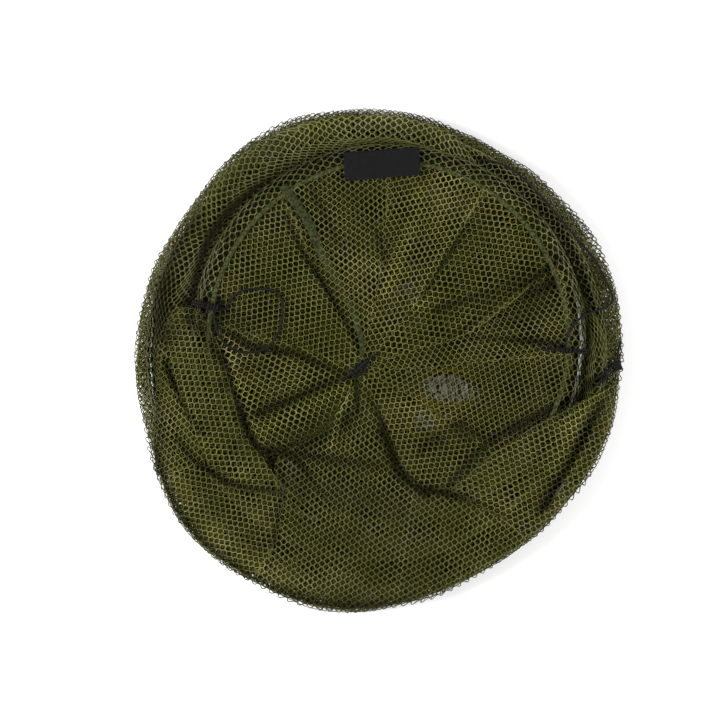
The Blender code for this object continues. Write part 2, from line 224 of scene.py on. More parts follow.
world = bpy.data.worlds.new("white room")
bpy.context.scene.world = world
world.use_nodes = True
tree = world.node_tree
tree.nodes.clear()
to_camera = add(tree, "ShaderNodeLightPath").outputs["Is Camera Ray"]
levels = {"Value": to_camera, "To Min": WORLD_LEVEL, "To Max": 1.0}
level = add(tree, "ShaderNodeMapRange", levels)
background = add(tree, "ShaderNodeBackground", {"Strength": level, "Color": WHITE})
add(tree, "ShaderNodeOutputWorld", {"Surface": background})


def soft_box(name, side, watts):
    """A square lamp on the left (-1) or the right (1), turned to the object, in metres."""
    data = bpy.data.lights.new(name, "AREA")
    data.size = LAMP_SIDE
    data.energy = watts
    lamp = into_scene(name, data)
    lamp.location = (side * LAMP_AWAY, -side * LAMP_BACK, LAMP_UP)
    lamp.rotation_euler = (-lamp.location).to_track_quat("-Z", "Y").to_euler()


soft_box("left soft box", -1, 56)
soft_box("right soft box", 1, 32)

# %% [markdown]
# ## The cord's finish
#
# The ties are thin black braided cord. Each tube below carries a UV map in metres, along and
# around, so two crossing waves on it give the braid wherever the cord bends. The strands lie
# 0.95 mm apart, a little coarser than real ones, so that they show.

# %% Black braided cord
STRAND_SPACING = 0.952
BRAID_LEAN = 0.8


def braided_cord():
    """Braided polyester, whose crossing strands break up its dull shine."""
    matt = {"Roughness": 0.72, "Specular IOR Level": 0.15}
    material, tree, shader = shader_tree("black braided cord", **matt)
    place = add(tree, "ShaderNodeUVMap", uv_map="along and around")
    strands = {}
    for side, lean in enumerate((BRAID_LEAN, -BRAID_LEAN)):
        turned = add(tree, "ShaderNodeMapping", {"Vector": place, "Rotation": (0, 0, lean)})
        bands = {"Vector": turned, "Scale": waves_every(STRAND_SPACING)}
        wave = add(tree, "ShaderNodeTexWave", bands)
        strands[side] = wave.outputs["Fac"]
    braid = add(tree, MATH, strands, operation="MAXIMUM")
    shades = {"Factor": braid, 6: colour("060506"), 7: colour("141315")}
    tint = add(tree, MIX, shades, data_type="RGBA")
    surface(tree, shader, tint.outputs[2], braid, 0.6)
    return material


cord_finish = braided_cord()

# %% [markdown]
# ## The cords
#
# Three free cords are tied to the net. Each follows the same route as its CAD solid. A tube
# is swept along a smooth curve through the route's points, its section kept from twisting.

# %% Routes of the free cords
RIGHT_CORD_ROUTE = (
    (165.6, 9.2, 38.6), (166.6, 16.0, 38.4), (169.5, 24.5, 38.4), (178.6, 34.3, 39.2),
    (186.5, 38.2, 36.0), (194.5, 41.2, 31.0), (202.5, 44.5, 29.4), (208.0, 49.0, 25.0),
    (207.5, 57.0, 22.6), (202.0, 68.0, 22.6), (191.8, 87.1, 24.5), (169.8, 111.8, 29.5),
    (147.8, 138.2, 29.5), (125.8, 160.2, 29.5), (108.2, 170.7, 29.5), (90.6, 174.4, 29.5),
)
LEFT_CORD_ROUTE = (
    (-137.5, 42.6, 37.0), (-133.6, 42.1, 36.7), (-128.5, 50.4, 36.3), (-119.0, 58.2, 36.3),
    (-105.0, 60.0, 36.3), (-92.0, 58.6, 36.3), (-84.6, 52.5, 36.3), (-82.9, 42.0, 36.3),
    (-84.4, 30.0, 36.3), (-88.4, 18.5, 36.3), (-96.4, 8.6, 36.3), (-107.4, 4.4, 36.3),
    (-122.0, 4.8, 36.3), (-134.5, 13.0, 36.3), (-141.0, 24.0, 36.6), (-143.0, 34.0, 37.6),
    (-143.0, 40.4, 38.2),
)
RIM_CORD_ROUTE = (
    (209.0, -8.4, 25.2), (205.6, -10.2, 28.9), (201.0, -13.5, 30.2), (195.0, -18.0, 29.4),
    (188.0, -22.5, 27.5), (178.0, -29.5, 27.5), (168.0, -37.0, 27.5), (161.0, -43.5, 27.5),
    (159.5, -49.0, 27.5), (164.0, -51.5, 27.5), (170.0, -47.5, 27.5), (180.0, -38.0, 27.5),
    (189.0, -29.5, 27.5), (196.5, -23.0, 29.6), (202.5, -17.5, 30.1), (207.4, -13.2, 28.2),
    (210.3, -10.2, 25.0),
)

# %% Smooth curves and tubes
FIRST_SIDE = (0.31, 0.17, 0.94)


def curve_between(before, start, end, after, t):
    """The place that share of the way from start to end, on a smooth curve through all four."""
    return 0.5 * (
        2 * start
        + (end - before) * t
        + (2 * before - 5 * start + 4 * end - after) * t**2
        + (3 * start - before - 3 * end + after) * t**3
    )


def smooth(points, step):
    """Points about one step apart on a smooth curve through the given ones, ends included."""
    points = np.array(points, float)
    found = [points[0]]
    last = len(points) - 1
    for i in range(last):
        near = points[max(i - 1, 0)], points[i], points[i + 1], points[min(i + 2, last)]
        pieces = max(1, round(float(np.linalg.norm(near[2] - near[1])) / step))
        found += [curve_between(*near, k / pieces) for k in range(1, pieces + 1)]
    return np.array(found)


def run_along(points):
    """How far along its line each point lies, in millimetres."""
    return np.concatenate([[0], np.cumsum(np.linalg.norm(np.diff(points, axis=0), axis=1))])


def tube_shape(points, radius, sides=10):
    """Corners, faces and UVs in metres of a closed tube along points, all in millimetres.

    The section turns as little as it can.
    """
    points = np.array(points, float)
    ways = np.gradient(points, axis=0)
    ways /= np.linalg.norm(ways, axis=1)[:, None]
    side = np.cross(ways[0], FIRST_SIDE)
    side /= np.linalg.norm(side)
    corners, places = [], []
    for point, way, along in zip(points, ways, run_along(points)):
        side = side - way * side.dot(way)
        side /= np.linalg.norm(side)
        other = np.cross(way, side)
        for k in range(sides):
            turn = math.tau * k / sides
            corners.append(point + radius * (math.cos(turn) * side + math.sin(turn) * other))
            places.append((along, radius * turn))
    faces = []
    for first in range(0, (len(points) - 1) * sides, sides):
        for k in range(sides):
            j = (k + 1) % sides
            faces.append((first + k, first + j, first + sides + j, first + sides + k))
    faces.append(tuple(reversed(range(sides))))
    faces.append(tuple(range((len(points) - 1) * sides, len(points) * sides)))
    return corners, faces, places


def smooth_tube(points, radius, step=1.2):
    """A tube along a smooth curve through the points."""
    return tube_shape(smooth(points, step), radius)


def solid_piece(name, shapes, material):
    """One object made of several shapes of corners, faces and UVs in millimetres."""
    corners, faces, places = [], [], []
    for some_corners, some_faces, some_places in shapes:
        first = len(corners)
        corners += [tuple(np.array(corner) * MM) for corner in some_corners]
        faces += [tuple(first + i for i in face) for face in some_faces]
        places += list(some_places)
    mesh = bpy.data.meshes.new(name)
    mesh.from_pydata(corners, [], faces)
    layer = mesh.uv_layers.new(name="along and around")
    for loop in mesh.loops:
        layer.data[loop.index].uv = np.array(places[loop.vertex_index]) * MM
    mesh.materials.append(material)
    mesh.shade_smooth()
    return into_scene(name, mesh)


def held(piece, body, slot, *nodes):
    """Puts a piece on its body and hides the CAD nodes that it stands for. The slot is not used."""
    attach(piece, body)
    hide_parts(*nodes)


# %% The three free cords
CORD = 2.0
CORD_STEP = 2.0
CORD_SIDES = 12


def free_cord(name, route, node, body):
    """A cord along its route, tied to the object at both ends by its knot."""
    line = smooth(route, CORD_STEP)
    piece = solid_piece(name, [tube_shape(line, CORD / 2, CORD_SIDES)], cord_finish)
    held(piece, body, "cord", node)


# %% [markdown]
# ## Knots
#
# A knot is cord too: a few turns wound round the cord that it grips. The left and right ties
# pass over the mouth pocket as two cords side by side. The rim knot is a lump with a short
# tag, and the drawstring is wound round the neck of the throat.

# %% Windings
KNOT_REACH = 2.7
TAG_RADIUS = CORD * 0.45
KNOT_CORE = CORD * 0.7
TIE_STEP = 1.5


def winding(start, end, radius, turns, steps=10):
    """Points of a coil of that radius round the line from start to end."""
    start, end = np.array(start, float), np.array(end, float)
    way = (end - start) / np.linalg.norm(end - start)
    side = np.cross(way, (0, 0, 1.0))
    side /= np.linalg.norm(side)
    other = np.cross(side, way)
    found = []
    for k in range(turns * steps + 1):
        turn = math.tau * k / steps
        middle = start + (end - start) * k / (turns * steps)
        found.append(middle + radius * (math.cos(turn) * side + math.sin(turn) * other))
    return found


# %% The two ties on the mouth hoop: radius and height, or shares of the tail
TIE_SPREAD = 0.36
TIE_OVER = (
    (174.9, 31.6), (175.6, 34.6), (174.0, 37.4), (170.0, 38.5), (164.0, 38.4), (159.6, 37.5),
)
TIE_COIL_FROM = (160.6, 38.0)
TIE_COIL_TO = (152.2, 37.6)
TIE_CORE = (161.0, 157.0, 152.0)
TIE_CORE_HEIGHT = 37.7
TIE_TAIL = (152.4, 37.6)
TAIL_BENDS = ((0, 0, 0), (0.3, 0.4, 0.2), (0.7, -0.3, -0.3), (1.0, 0.3, 0.2))


def hoop_tie(name, node, degrees, tail, turns, bulk=0.0):
    """Two cords side by side over the mouth pocket, a knot on the tape and its tail.

    bulk is how much thicker the knot is, in millimetres, and it lies higher by as much.
    """

    def at(radius, height, bend=0.0):
        return polar(radius, degrees + bend, height, MOUTH_MIDDLE)

    shapes = []
    for side in (-1, 1):
        over = [at(*place, side * TIE_SPREAD) for place in TIE_OVER]
        shapes.append(smooth_tube(over, CORD / 2, TIE_STEP))
    outer = at(TIE_COIL_FROM[0] + bulk, TIE_COIL_FROM[1] + bulk)
    inner = at(TIE_COIL_TO[0] - bulk, TIE_COIL_TO[1] + bulk)
    coil = winding(outer, inner, KNOT_REACH + bulk - CORD / 2, turns)
    core = [at(radius, TIE_CORE_HEIGHT + bulk) for radius in TIE_CORE]
    end = [
        at(TIE_TAIL[0] - tail * share, TIE_TAIL[1] - share * drop, bend)
        for share, bend, drop in TAIL_BENDS
    ]
    shapes.append(smooth_tube(coil, CORD / 2))
    shapes.append(smooth_tube(core, KNOT_CORE + bulk, TIE_STEP))
    shapes.append(smooth_tube(end, TAG_RADIUS))
    piece = solid_piece(name, shapes, cord_finish)
    held(piece, "mouth", "cord", node)
    return piece


LEFT_TIE = 169.0
RIGHT_TIE = -3.0
left_tie = hoop_tie("left_tie", "left_knot", LEFT_TIE, 5.0, 4, bulk=1.0)
right_tie = hoop_tie("right_tie", "right_knot", RIGHT_TIE, 19.0, 3)

# %% The rim knot
RIM_COIL_FROM = (213.4, -11.2, 25.0)
RIM_COIL_TO = (211.8, -4.2, 25.4)
RIM_CORE = ((208.6, -9.4, 25.9), (212.6, -7.8, 25.2), (212.4, -3.8, 24.6))
RIM_TAG = (
    (212.0, -6.0, 24.4), (213.4, -1.0, 23.6), (213.2, 5.0, 22.6), (214.8, 10.5, 22.4),
    (215.8, 14.6, 22.6),
)
rim_shapes = [
    smooth_tube(winding(RIM_COIL_FROM, RIM_COIL_TO, KNOT_REACH, 4), CORD / 2),
    smooth_tube(RIM_CORE, CORD, TIE_STEP),
    smooth_tube(RIM_TAG, TAG_RADIUS, TIE_STEP),
]
rim_tie = solid_piece("rim_tie", rim_shapes, cord_finish)
held(rim_tie, "upper_ring", "cord", "rim_knot")

free_cord("left_line", LEFT_CORD_ROUTE, "left_cord", "mouth")
free_cord("right_line", RIGHT_CORD_ROUTE, "right_cord", "mouth")
free_cord("rim_line", RIM_CORD_ROUTE, "rim_cord", "upper_ring")

# %% The drawstring round the throat's neck
NECK_TIE_BOTTOM = 37.3 - 0.9
NECK_TIE_RISE = 0.16
NECK_TIE_RADIUS = 4.6
NECK_TIE_STEP = 40
NECK_TIE_STEPS = 20
KNOT_RADIUS = 1.9
KNOT_FROM, KNOT_OVER, KNOT_TO = traced(((352, 374, 38.6), (360, 367, 39.6), (368, 360, 39.2)))
KNOT_TAILS = (
    (KNOT_TO, *traced(((371, 357.5, 39.4), (374, 356, 38.6), (377.5, 352.5, 37.6)))),
    (KNOT_FROM, *traced(((349, 376, 38.4), (345, 377, 37.8), (340.5, 380.5, 37.0)))),
)
neck_turns = [
    polar(NECK_TIE_RADIUS, NECK_TIE_STEP * k, NECK_TIE_BOTTOM + NECK_TIE_RISE * k, GATHER)
    for k in range(NECK_TIE_STEPS)
]
drawstring_shapes = [
    smooth_tube(neck_turns, CORD / 2),
    smooth_tube(winding(KNOT_FROM, KNOT_TO, KNOT_RADIUS, 5), CORD / 2),
    smooth_tube((KNOT_FROM, KNOT_OVER, KNOT_TO), CORD * 0.8),
    *(smooth_tube(tail, TAG_RADIUS) for tail in KNOT_TAILS),
]
drawstring = solid_piece("drawstring", drawstring_shapes, cord_finish)
held(drawstring, "mouth", "cord", "drawstring_tie", "drawstring_knot")

# %% [markdown]
# ## Netting
#
# The net is knotless: threads run in zigzag rows, and short links join each row to the next,
# so that the holes are six-sided. A flat lattice is drawn by Geometry Nodes and then laid on
# a folded sheet through the sheet's UV map, which holds the cloth's flat sizes. Slow noise
# pulls the cells out of line, a new way about every 11 mm. Real threads show depth, shadow
# and the layers below, which a painted pattern could not.

# %% The netting tree
CELL_LENGTH = 6.2
ROW_SPACING = 4.27
NET_SOCKETS = (
    ("Sheet", "NodeSocketGeometry", None),
    ("Length", "NodeSocketFloat", 200.0),
    ("Width", "NodeSocketFloat", 200.0),
    ("Cell Length", "NodeSocketFloat", CELL_LENGTH),
    ("Row Spacing", "NodeSocketFloat", ROW_SPACING),
    ("Zigzag", "NodeSocketFloat", 1.12),
    ("Thread Radius", "NodeSocketFloat", 0.5),
    ("Thread Sides", "NodeSocketInt", 3),
    ("Closed Round", "NodeSocketBool", False),
    ("Unevenness", "NodeSocketFloat", 0.5),
    ("Twine", "NodeSocketMaterial", None),
)
UV_INSET = 1e-5
PULL_SCALE = 0.09
NEARLY_HALF = 0.4999
HALF = (0.5, 0.5, 0)


def make_net_tree():
    """Geometry Nodes that draw a flat lattice and lay it on the sheet by its UV map."""
    tree = bpy.data.node_groups.new("netting", "GeometryNodeTree")
    for name, kind, value in NET_SOCKETS:
        socket = tree.interface.new_socket(name, in_out="INPUT", socket_type=kind)
        if value is not None:
            socket.default_value = value
    tree.interface.new_socket("Net", in_out="OUTPUT", socket_type="NodeSocketGeometry")
    given = add(tree, "NodeGroupInput").outputs

    # How many steps along each row, and how many rows
    half_cell = add(tree, MATH, {0: given["Cell Length"], 1: 0.5}, operation="MULTIPLY")
    steps_raw = add(tree, MATH, {0: given["Length"], 1: half_cell}, operation="DIVIDE")
    steps = add(tree, MATH, {0: steps_raw}, operation="ROUND")
    rows_raw = add(tree, MATH, {0: given["Width"], 1: given["Row Spacing"]}, operation="DIVIDE")
    pairs_raw = add(tree, MATH, {0: rows_raw, 1: 0.5}, operation="MULTIPLY")
    pairs = add(tree, MATH, {0: pairs_raw}, operation="ROUND")
    rows = add(tree, MATH, {0: pairs, 1: 2.0}, operation="MULTIPLY")
    points_x, points_y = (add(tree, MATH, {0: n, 1: 1.0}, operation="ADD") for n in (steps, rows))
    sizes = {"Size X": 1.0, "Size Y": 1.0, "Vertices X": points_x, "Vertices Y": points_y}
    grid = add(tree, "GeometryNodeMeshGrid", sizes)
    counts = add(tree, JOIN_XYZ, {"X": steps, "Y": rows})

    # Edges: zigzag rows run along X, and every other edge along Y is a link
    edge = add(tree, "GeometryNodeInputMeshEdgeVertices").outputs
    ends = {0: edge["Position 1"], 1: edge["Position 2"]}
    reach = add(tree, VECTOR_MATH, ends, operation="SUBTRACT")
    size = add(tree, SPLIT_XYZ, {0: add(tree, VECTOR_MATH, {0: reach}, operation="ABSOLUTE")})
    both_sizes = {0: size.outputs["X"], 1: size.outputs["Y"]}
    is_row = add(tree, MATH, both_sizes, operation="GREATER_THAN")
    low = add(tree, VECTOR_MATH, ends, operation="MINIMUM")

    def parity_of(position):
        """0 or 1 in turn from one grid point to the next, both ways."""
        share = add(tree, VECTOR_MATH, {0: position, 1: HALF}, operation="ADD")
        number = add(tree, VECTOR_MATH, {0: share, 1: counts, 2: HALF}, operation="MULTIPLY_ADD")
        whole = add(tree, VECTOR_MATH, {0: number}, operation="FLOOR")
        parts = add(tree, SPLIT_XYZ, {0: whole}).outputs
        both = add(tree, MATH, {0: parts["X"], 1: parts["Y"]}, operation="ADD")
        return add(tree, MATH, {0: both, 1: 2.0}, operation="FLOORED_MODULO")

    low_y = add(tree, SPLIT_XYZ, {0: low}).outputs["Y"]
    at_seam = add(tree, MATH, {0: low_y, 1: NEARLY_HALF}, operation="GREATER_THAN")
    doubled = add(tree, MATH, {0: at_seam, 1: given["Closed Round"]}, operation="MULTIPLY")
    not_row = add(tree, MATH, {0: 1.0, 1: is_row}, operation="SUBTRACT")
    drop_from_rows = add(tree, MATH, {0: not_row, 1: doubled}, operation="MAXIMUM")
    drop_from_links = add(tree, MATH, {0: is_row, 1: parity_of(low)}, operation="MAXIMUM")
    lattice = add(tree, "GeometryNodeJoinGeometry")
    for dropped in (drop_from_rows, drop_from_links):
        chosen = {"Geometry": grid, "Selection": dropped}
        edges = {"domain": "EDGE", "mode": "EDGE_FACE"}
        fill(tree, lattice, {0: add(tree, "GeometryNodeDeleteGeometry", chosen, **edges)})

    # Each point's place on the flat cloth
    here = add(tree, "GeometryNodeInputPosition")
    sign = {0: parity_of(here), 1: -2.0, 2: 1.0}
    up_or_down = add(tree, MATH, sign, operation="MULTIPLY_ADD")
    flat_size = add(tree, JOIN_XYZ, {"X": given["Length"], "Y": given["Width"]})
    zigzag = add(tree, MATH, {0: up_or_down, 1: given["Zigzag"]}, operation="MULTIPLY")
    share = add(tree, VECTOR_MATH, {0: here, 1: HALF}, operation="ADD")
    flat = add(tree, VECTOR_MATH, {0: share, 1: flat_size}, operation="MULTIPLY")
    noise = add(tree, NOISE, {"Vector": flat, "Scale": PULL_SCALE, "Detail": 2.0})
    from_middle = {0: noise.outputs["Color"], 1: (0.5, 0.5, 0.5)}
    centred = add(tree, VECTOR_MATH, from_middle, operation="SUBTRACT")
    pull = add(tree, VECTOR_MATH, {0: centred, "Scale": given["Unevenness"]}, operation="SCALE")
    zigzag_way = add(tree, JOIN_XYZ, {"Y": zigzag})
    moved = add(tree, VECTOR_MATH, {0: zigzag_way, 1: pull}, operation="ADD")
    moved_share = add(tree, VECTOR_MATH, {0: moved, 1: flat_size}, operation="DIVIDE")
    place = add(tree, VECTOR_MATH, {0: share, 1: moved_share}, operation="ADD")
    parts = add(tree, SPLIT_XYZ, {0: place}).outputs
    wrapped = add(tree, MATH, {0: parts["Y"]}, operation="FRACT")
    held_x, held_y = (add(tree, "ShaderNodeClamp", {"Value": parts[axis]}) for axis in "XY")
    across = add(tree, MIX, {"Factor": given["Closed Round"], "A": held_y, "B": wrapped})
    uv = add(tree, JOIN_XYZ, {"X": held_x, "Y": across})
    shrunk = {0: uv, 1: (1 - 2 * UV_INSET, 1 - 2 * UV_INSET, 0), 2: (UV_INSET, UV_INSET, 0)}
    inset = add(tree, VECTOR_MATH, shrunk, operation="MULTIPLY_ADD")

    # Each point laid on the sheet, with the sheet's openness there
    vector, number = {"data_type": "FLOAT_VECTOR"}, {"data_type": "FLOAT"}
    cloth_uv = add(tree, "GeometryNodeInputNamedAttribute", {"Name": "flat"}, **vector)
    stored = add(tree, "GeometryNodeInputNamedAttribute", {"Name": "open"}, **number)
    position = add(tree, "GeometryNodeInputPosition")
    spot = {"Mesh": given["Sheet"], "UV Map": cloth_uv, "Sample UV": inset}
    on_sheet = add(tree, "GeometryNodeSampleUVSurface", {"Value": position, **spot}, **vector)
    openness = add(tree, "GeometryNodeSampleUVSurface", {"Value": stored, **spot}, **number)
    level = {"Geometry": lattice, "Name": "open", "Value": openness.outputs["Value"]}
    shaded = add(tree, "GeometryNodeStoreNamedAttribute", level, domain="POINT", **number)
    valid = on_sheet.outputs["Is Valid"]
    missed = add(tree, "FunctionNodeBooleanMath", {0: valid}, operation="NOT")
    kept = add(tree, "GeometryNodeDeleteGeometry", {"Geometry": shaded, "Selection": missed})
    places = {"Geometry": kept, "Position": on_sheet.outputs["Value"]}
    laid = add(tree, "GeometryNodeSetPosition", places)

    # Thread: a thin tube along each line
    lines = add(tree, "GeometryNodeMeshToCurve", {"Mesh": laid})
    radius = add(tree, MATH, {0: given["Thread Radius"], 1: MM}, operation="MULTIPLY")
    circle = {"Resolution": given["Thread Sides"], "Radius": radius}
    section = add(tree, "GeometryNodeCurvePrimitiveCircle", circle)
    thread = add(tree, "GeometryNodeCurveToMesh", {"Curve": lines, "Profile Curve": section})
    rounded = add(tree, "GeometryNodeSetShadeSmooth", {"Geometry": thread})
    real = add(tree, "GeometryNodeRealizeInstances", {"Geometry": rounded})
    finish = {"Geometry": real, "Material": given["Twine"]}
    finished = add(tree, "GeometryNodeSetMaterial", finish)
    add(tree, "NodeGroupOutput", {"Net": finished})
    return tree


net_tree = make_net_tree()
print("netting tree:", len(net_tree.nodes), "nodes")

# %% [markdown]
# ## The twine's finish
#
# The twine is matt olive polyester. No two stretches are quite the same green: some are
# yellower, some greyer. Slow noise on Object coordinates gives that, in spots of 45 mm, and a
# fine noise gives the fuzz of twisted fibre. Real fibre is too fine to show here, so the fuzz
# is drawn 1.4 mm coarse.

# %% Olive twine
CREASE_SHADE = "0B0C03"
DRIFT_SIZE = 45.45
FIBRE_SIZE = 1.4286
FIBRE_SHARE = 0.35
SHADE_STOPS = (0.36, 0.5, 0.66)


def olive_twine(name, shades):
    """Netting twine whose colour drifts between three shades, given as sRGB hex."""
    matt = {"Roughness": 0.62, "Specular IOR Level": 0.06}
    material, tree, shader = shader_tree(name, **matt)
    place = add(tree, "ShaderNodeTexCoord").outputs["Object"]
    slow = {"Vector": place, "Scale": spots_of(DRIFT_SIZE), "Detail": 3.0}
    fine = {"Vector": place, "Scale": spots_of(FIBRE_SIZE), "Detail": 1.0}
    drift, fibre = add(tree, NOISE, slow), add(tree, NOISE, fine)
    both = {"Factor": FIBRE_SHARE, "A": drift.outputs["Fac"], "B": fibre.outputs["Fac"]}
    ramp = add(tree, "ShaderNodeValToRGB", {"Fac": add(tree, MIX, both)})
    stops = ramp.color_ramp.elements
    stops.new(SHADE_STOPS[1])
    for stop, position, shade in zip(stops, SHADE_STOPS, shades):
        stop.position = position
        stop.color = colour(shade)
    # Painted light and shade: the stored openness mixes the colour towards CREASE_SHADE, darker in
    # folds and hidden layers, brighter on ridges and lit layers.
    openness = add(tree, "ShaderNodeAttribute", attribute_name="open").outputs["Fac"]
    light = {"Factor": openness, 6: colour(CREASE_SHADE), 7: ramp.outputs["Color"]}
    shaded = add(tree, MIX, light, data_type="RGBA")
    surface(tree, shader, shaded.outputs[2], fibre.outputs["Fac"], 0.4)
    return material


twine = olive_twine("olive twine", ("717238", "83834B", "989663"))
hem_twine = olive_twine("grey green twine", ("5C5F36", "6E7046", "818164"))
# The last two are the same olive twine in painted shade: the first for linings and inner pocket
# layers, the second for hidden layers below.
shaded_twine = olive_twine("olive twine in painted shade", ("403E06", "4C4809", "574E0C"))
deep_shaded_twine = olive_twine("olive twine in deep painted shade", ("2B2E0A", "35380D", "403F10"))

# %% [markdown]
# ## From a sheet to a net
#
# A sheet is a fine grid of quads with a UV map of its flat cloth. The netting tree lays its
# lattice on it, and the result becomes a plain mesh with no modifier left.

# %% Lay the lattice on sheets
THREAD = 0.62
FINE_THREAD = 0.46
THICK_THREAD = 0.85


def sheet_mesh(name, points, uv, light):
    """A grid of quads. points is rows x columns x 3 in millimetres, and uv runs from 0 to 1.

    A point that holds NaN is left out, with the quads that touch it. light is the openness
    of each point, from 0 at the bottom of a fold to 1.
    """
    rows, columns = points.shape[:2]
    index = np.arange(rows * columns).reshape(rows, columns)
    quads = (index[:-1, :-1], index[1:, :-1], index[1:, 1:], index[:-1, 1:])
    quads = np.stack(quads, axis=-1).reshape(-1, 4)
    whole = np.isfinite(points.reshape(-1, 3)).all(axis=1)
    quads = quads[whole[quads].all(axis=1)]
    corners = np.nan_to_num(points.reshape(-1, 3)) * MM
    mesh = bpy.data.meshes.new(name)
    mesh.from_pydata(corners.tolist(), [], quads.tolist())
    layer = mesh.uv_layers.new(name="flat")
    layer.data.foreach_set("uv", uv.reshape(-1, 2)[quads.reshape(-1)].reshape(-1))
    stored = mesh.attributes.new("open", "FLOAT", "POINT")
    stored.data.foreach_set("value", np.nan_to_num(light.reshape(-1), nan=1.0))
    return mesh


def knitted(sheet, length, width, radius=THREAD, **more):
    """The mesh of the net that lies on a sheet whose flat cloth is length by width, in mm."""
    holder = into_scene("sheet", sheet)
    modifier = holder.modifiers.new("netting", "NODES")
    modifier.node_group = net_tree
    wanted = {"Length": length, "Width": width, "Twine": twine, "Thread Radius": radius, **more}
    for item in net_tree.interface.items_tree:
        if item.in_out == "INPUT" and item.name in wanted:
            modifier[item.identifier] = wanted[item.name]
    graph = bpy.context.evaluated_depsgraph_get()
    mesh = bpy.data.meshes.new_from_object(holder.evaluated_get(graph))
    bpy.data.objects.remove(holder)
    return mesh


def net_piece(name, meshes, material):
    """One object made of one or more knitted meshes."""
    joined = bmesh.new()
    for mesh in meshes:
        joined.from_mesh(mesh)
    data = bpy.data.meshes.new(name)
    joined.to_mesh(data)
    joined.free()
    data.materials.append(material)
    data.shade_smooth()
    piece = into_scene(name, data)
    data.calc_loop_triangles()
    print(name, len(data.loop_triangles), "triangles")
    return piece


def folded(node):
    """Hides the CAD node that a folded net stands for."""
    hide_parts(node)


def stretching(piece):
    """Bakes a net's place into its mesh."""
    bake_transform(piece)


# %% [markdown]
# ## The outline
#
# The folded net bulges past the hoops by a different amount all round. Its reach in the
# photograph was read every twenty degrees, from three o'clock against the clock.

# %% Reach of the folds
RIM_REACH = (
    *(216.6, 221.0, 216.5, 211.5, 218.0, 221.7, 223.2, 212.2, 213.0),
    *(213.3, 215.5, 228.0, 228.0, 227.9, 218.9, 211.5, 212.5, 216.3),
)
RING_TURNS = 240
RISE_TURN, FALL_TURN = 16, 24
PHASES = (0, 6.28)
WAVE_SHARES = (0.4, 1.0)
turns = np.linspace(0, 2 * np.pi, RING_TURNS + 1)


def rim(turn):
    """How far the folded net reaches at that turn, in millimetres from the origin."""
    marks = len(RIM_REACH)
    place = np.asarray(turn) / (2 * np.pi) * marks
    low = np.floor(place).astype(int)
    near = (np.array(RIM_REACH)[(low + k) % marks] for k in (-1, 0, 1, 2))
    return curve_between(*near, place - low)


def ripple(turn, seed, waves=(5, 9, 14, 23), size=1.0):
    """A smooth wave round the ring, about size high, the same each time for one seed."""
    dice = np.random.RandomState(seed)
    total = 0
    for wave in waves:
        share = dice.uniform(*WAVE_SHARES)
        total = total + share * np.sin(wave * turn + dice.uniform(*PHASES))
    return size * total / len(waves) ** 0.5


def between(turn, start, end):
    """1 from one turn to another, in degrees, 0 elsewhere and smooth at both ends."""
    degrees = (np.degrees(turn) + 100) % 360 - 100
    rise = np.clip((degrees - start + RISE_TURN / 2) / RISE_TURN, 0, 1)
    fall = np.clip((end + FALL_TURN / 2 - degrees) / FALL_TURN, 0, 1)
    both = np.minimum(rise, fall)
    return both * both * (3 - 2 * both)


# %% [markdown]
# ## Folds
#
# The slack net lies in folds, and each fold shows as a dark line with a soft side. The lines
# were read off the photograph. They do two things: they press the netting down, and they are
# stored on it as an openness, because a few layers of thin thread let more light into a
# fold than the real bunch does.

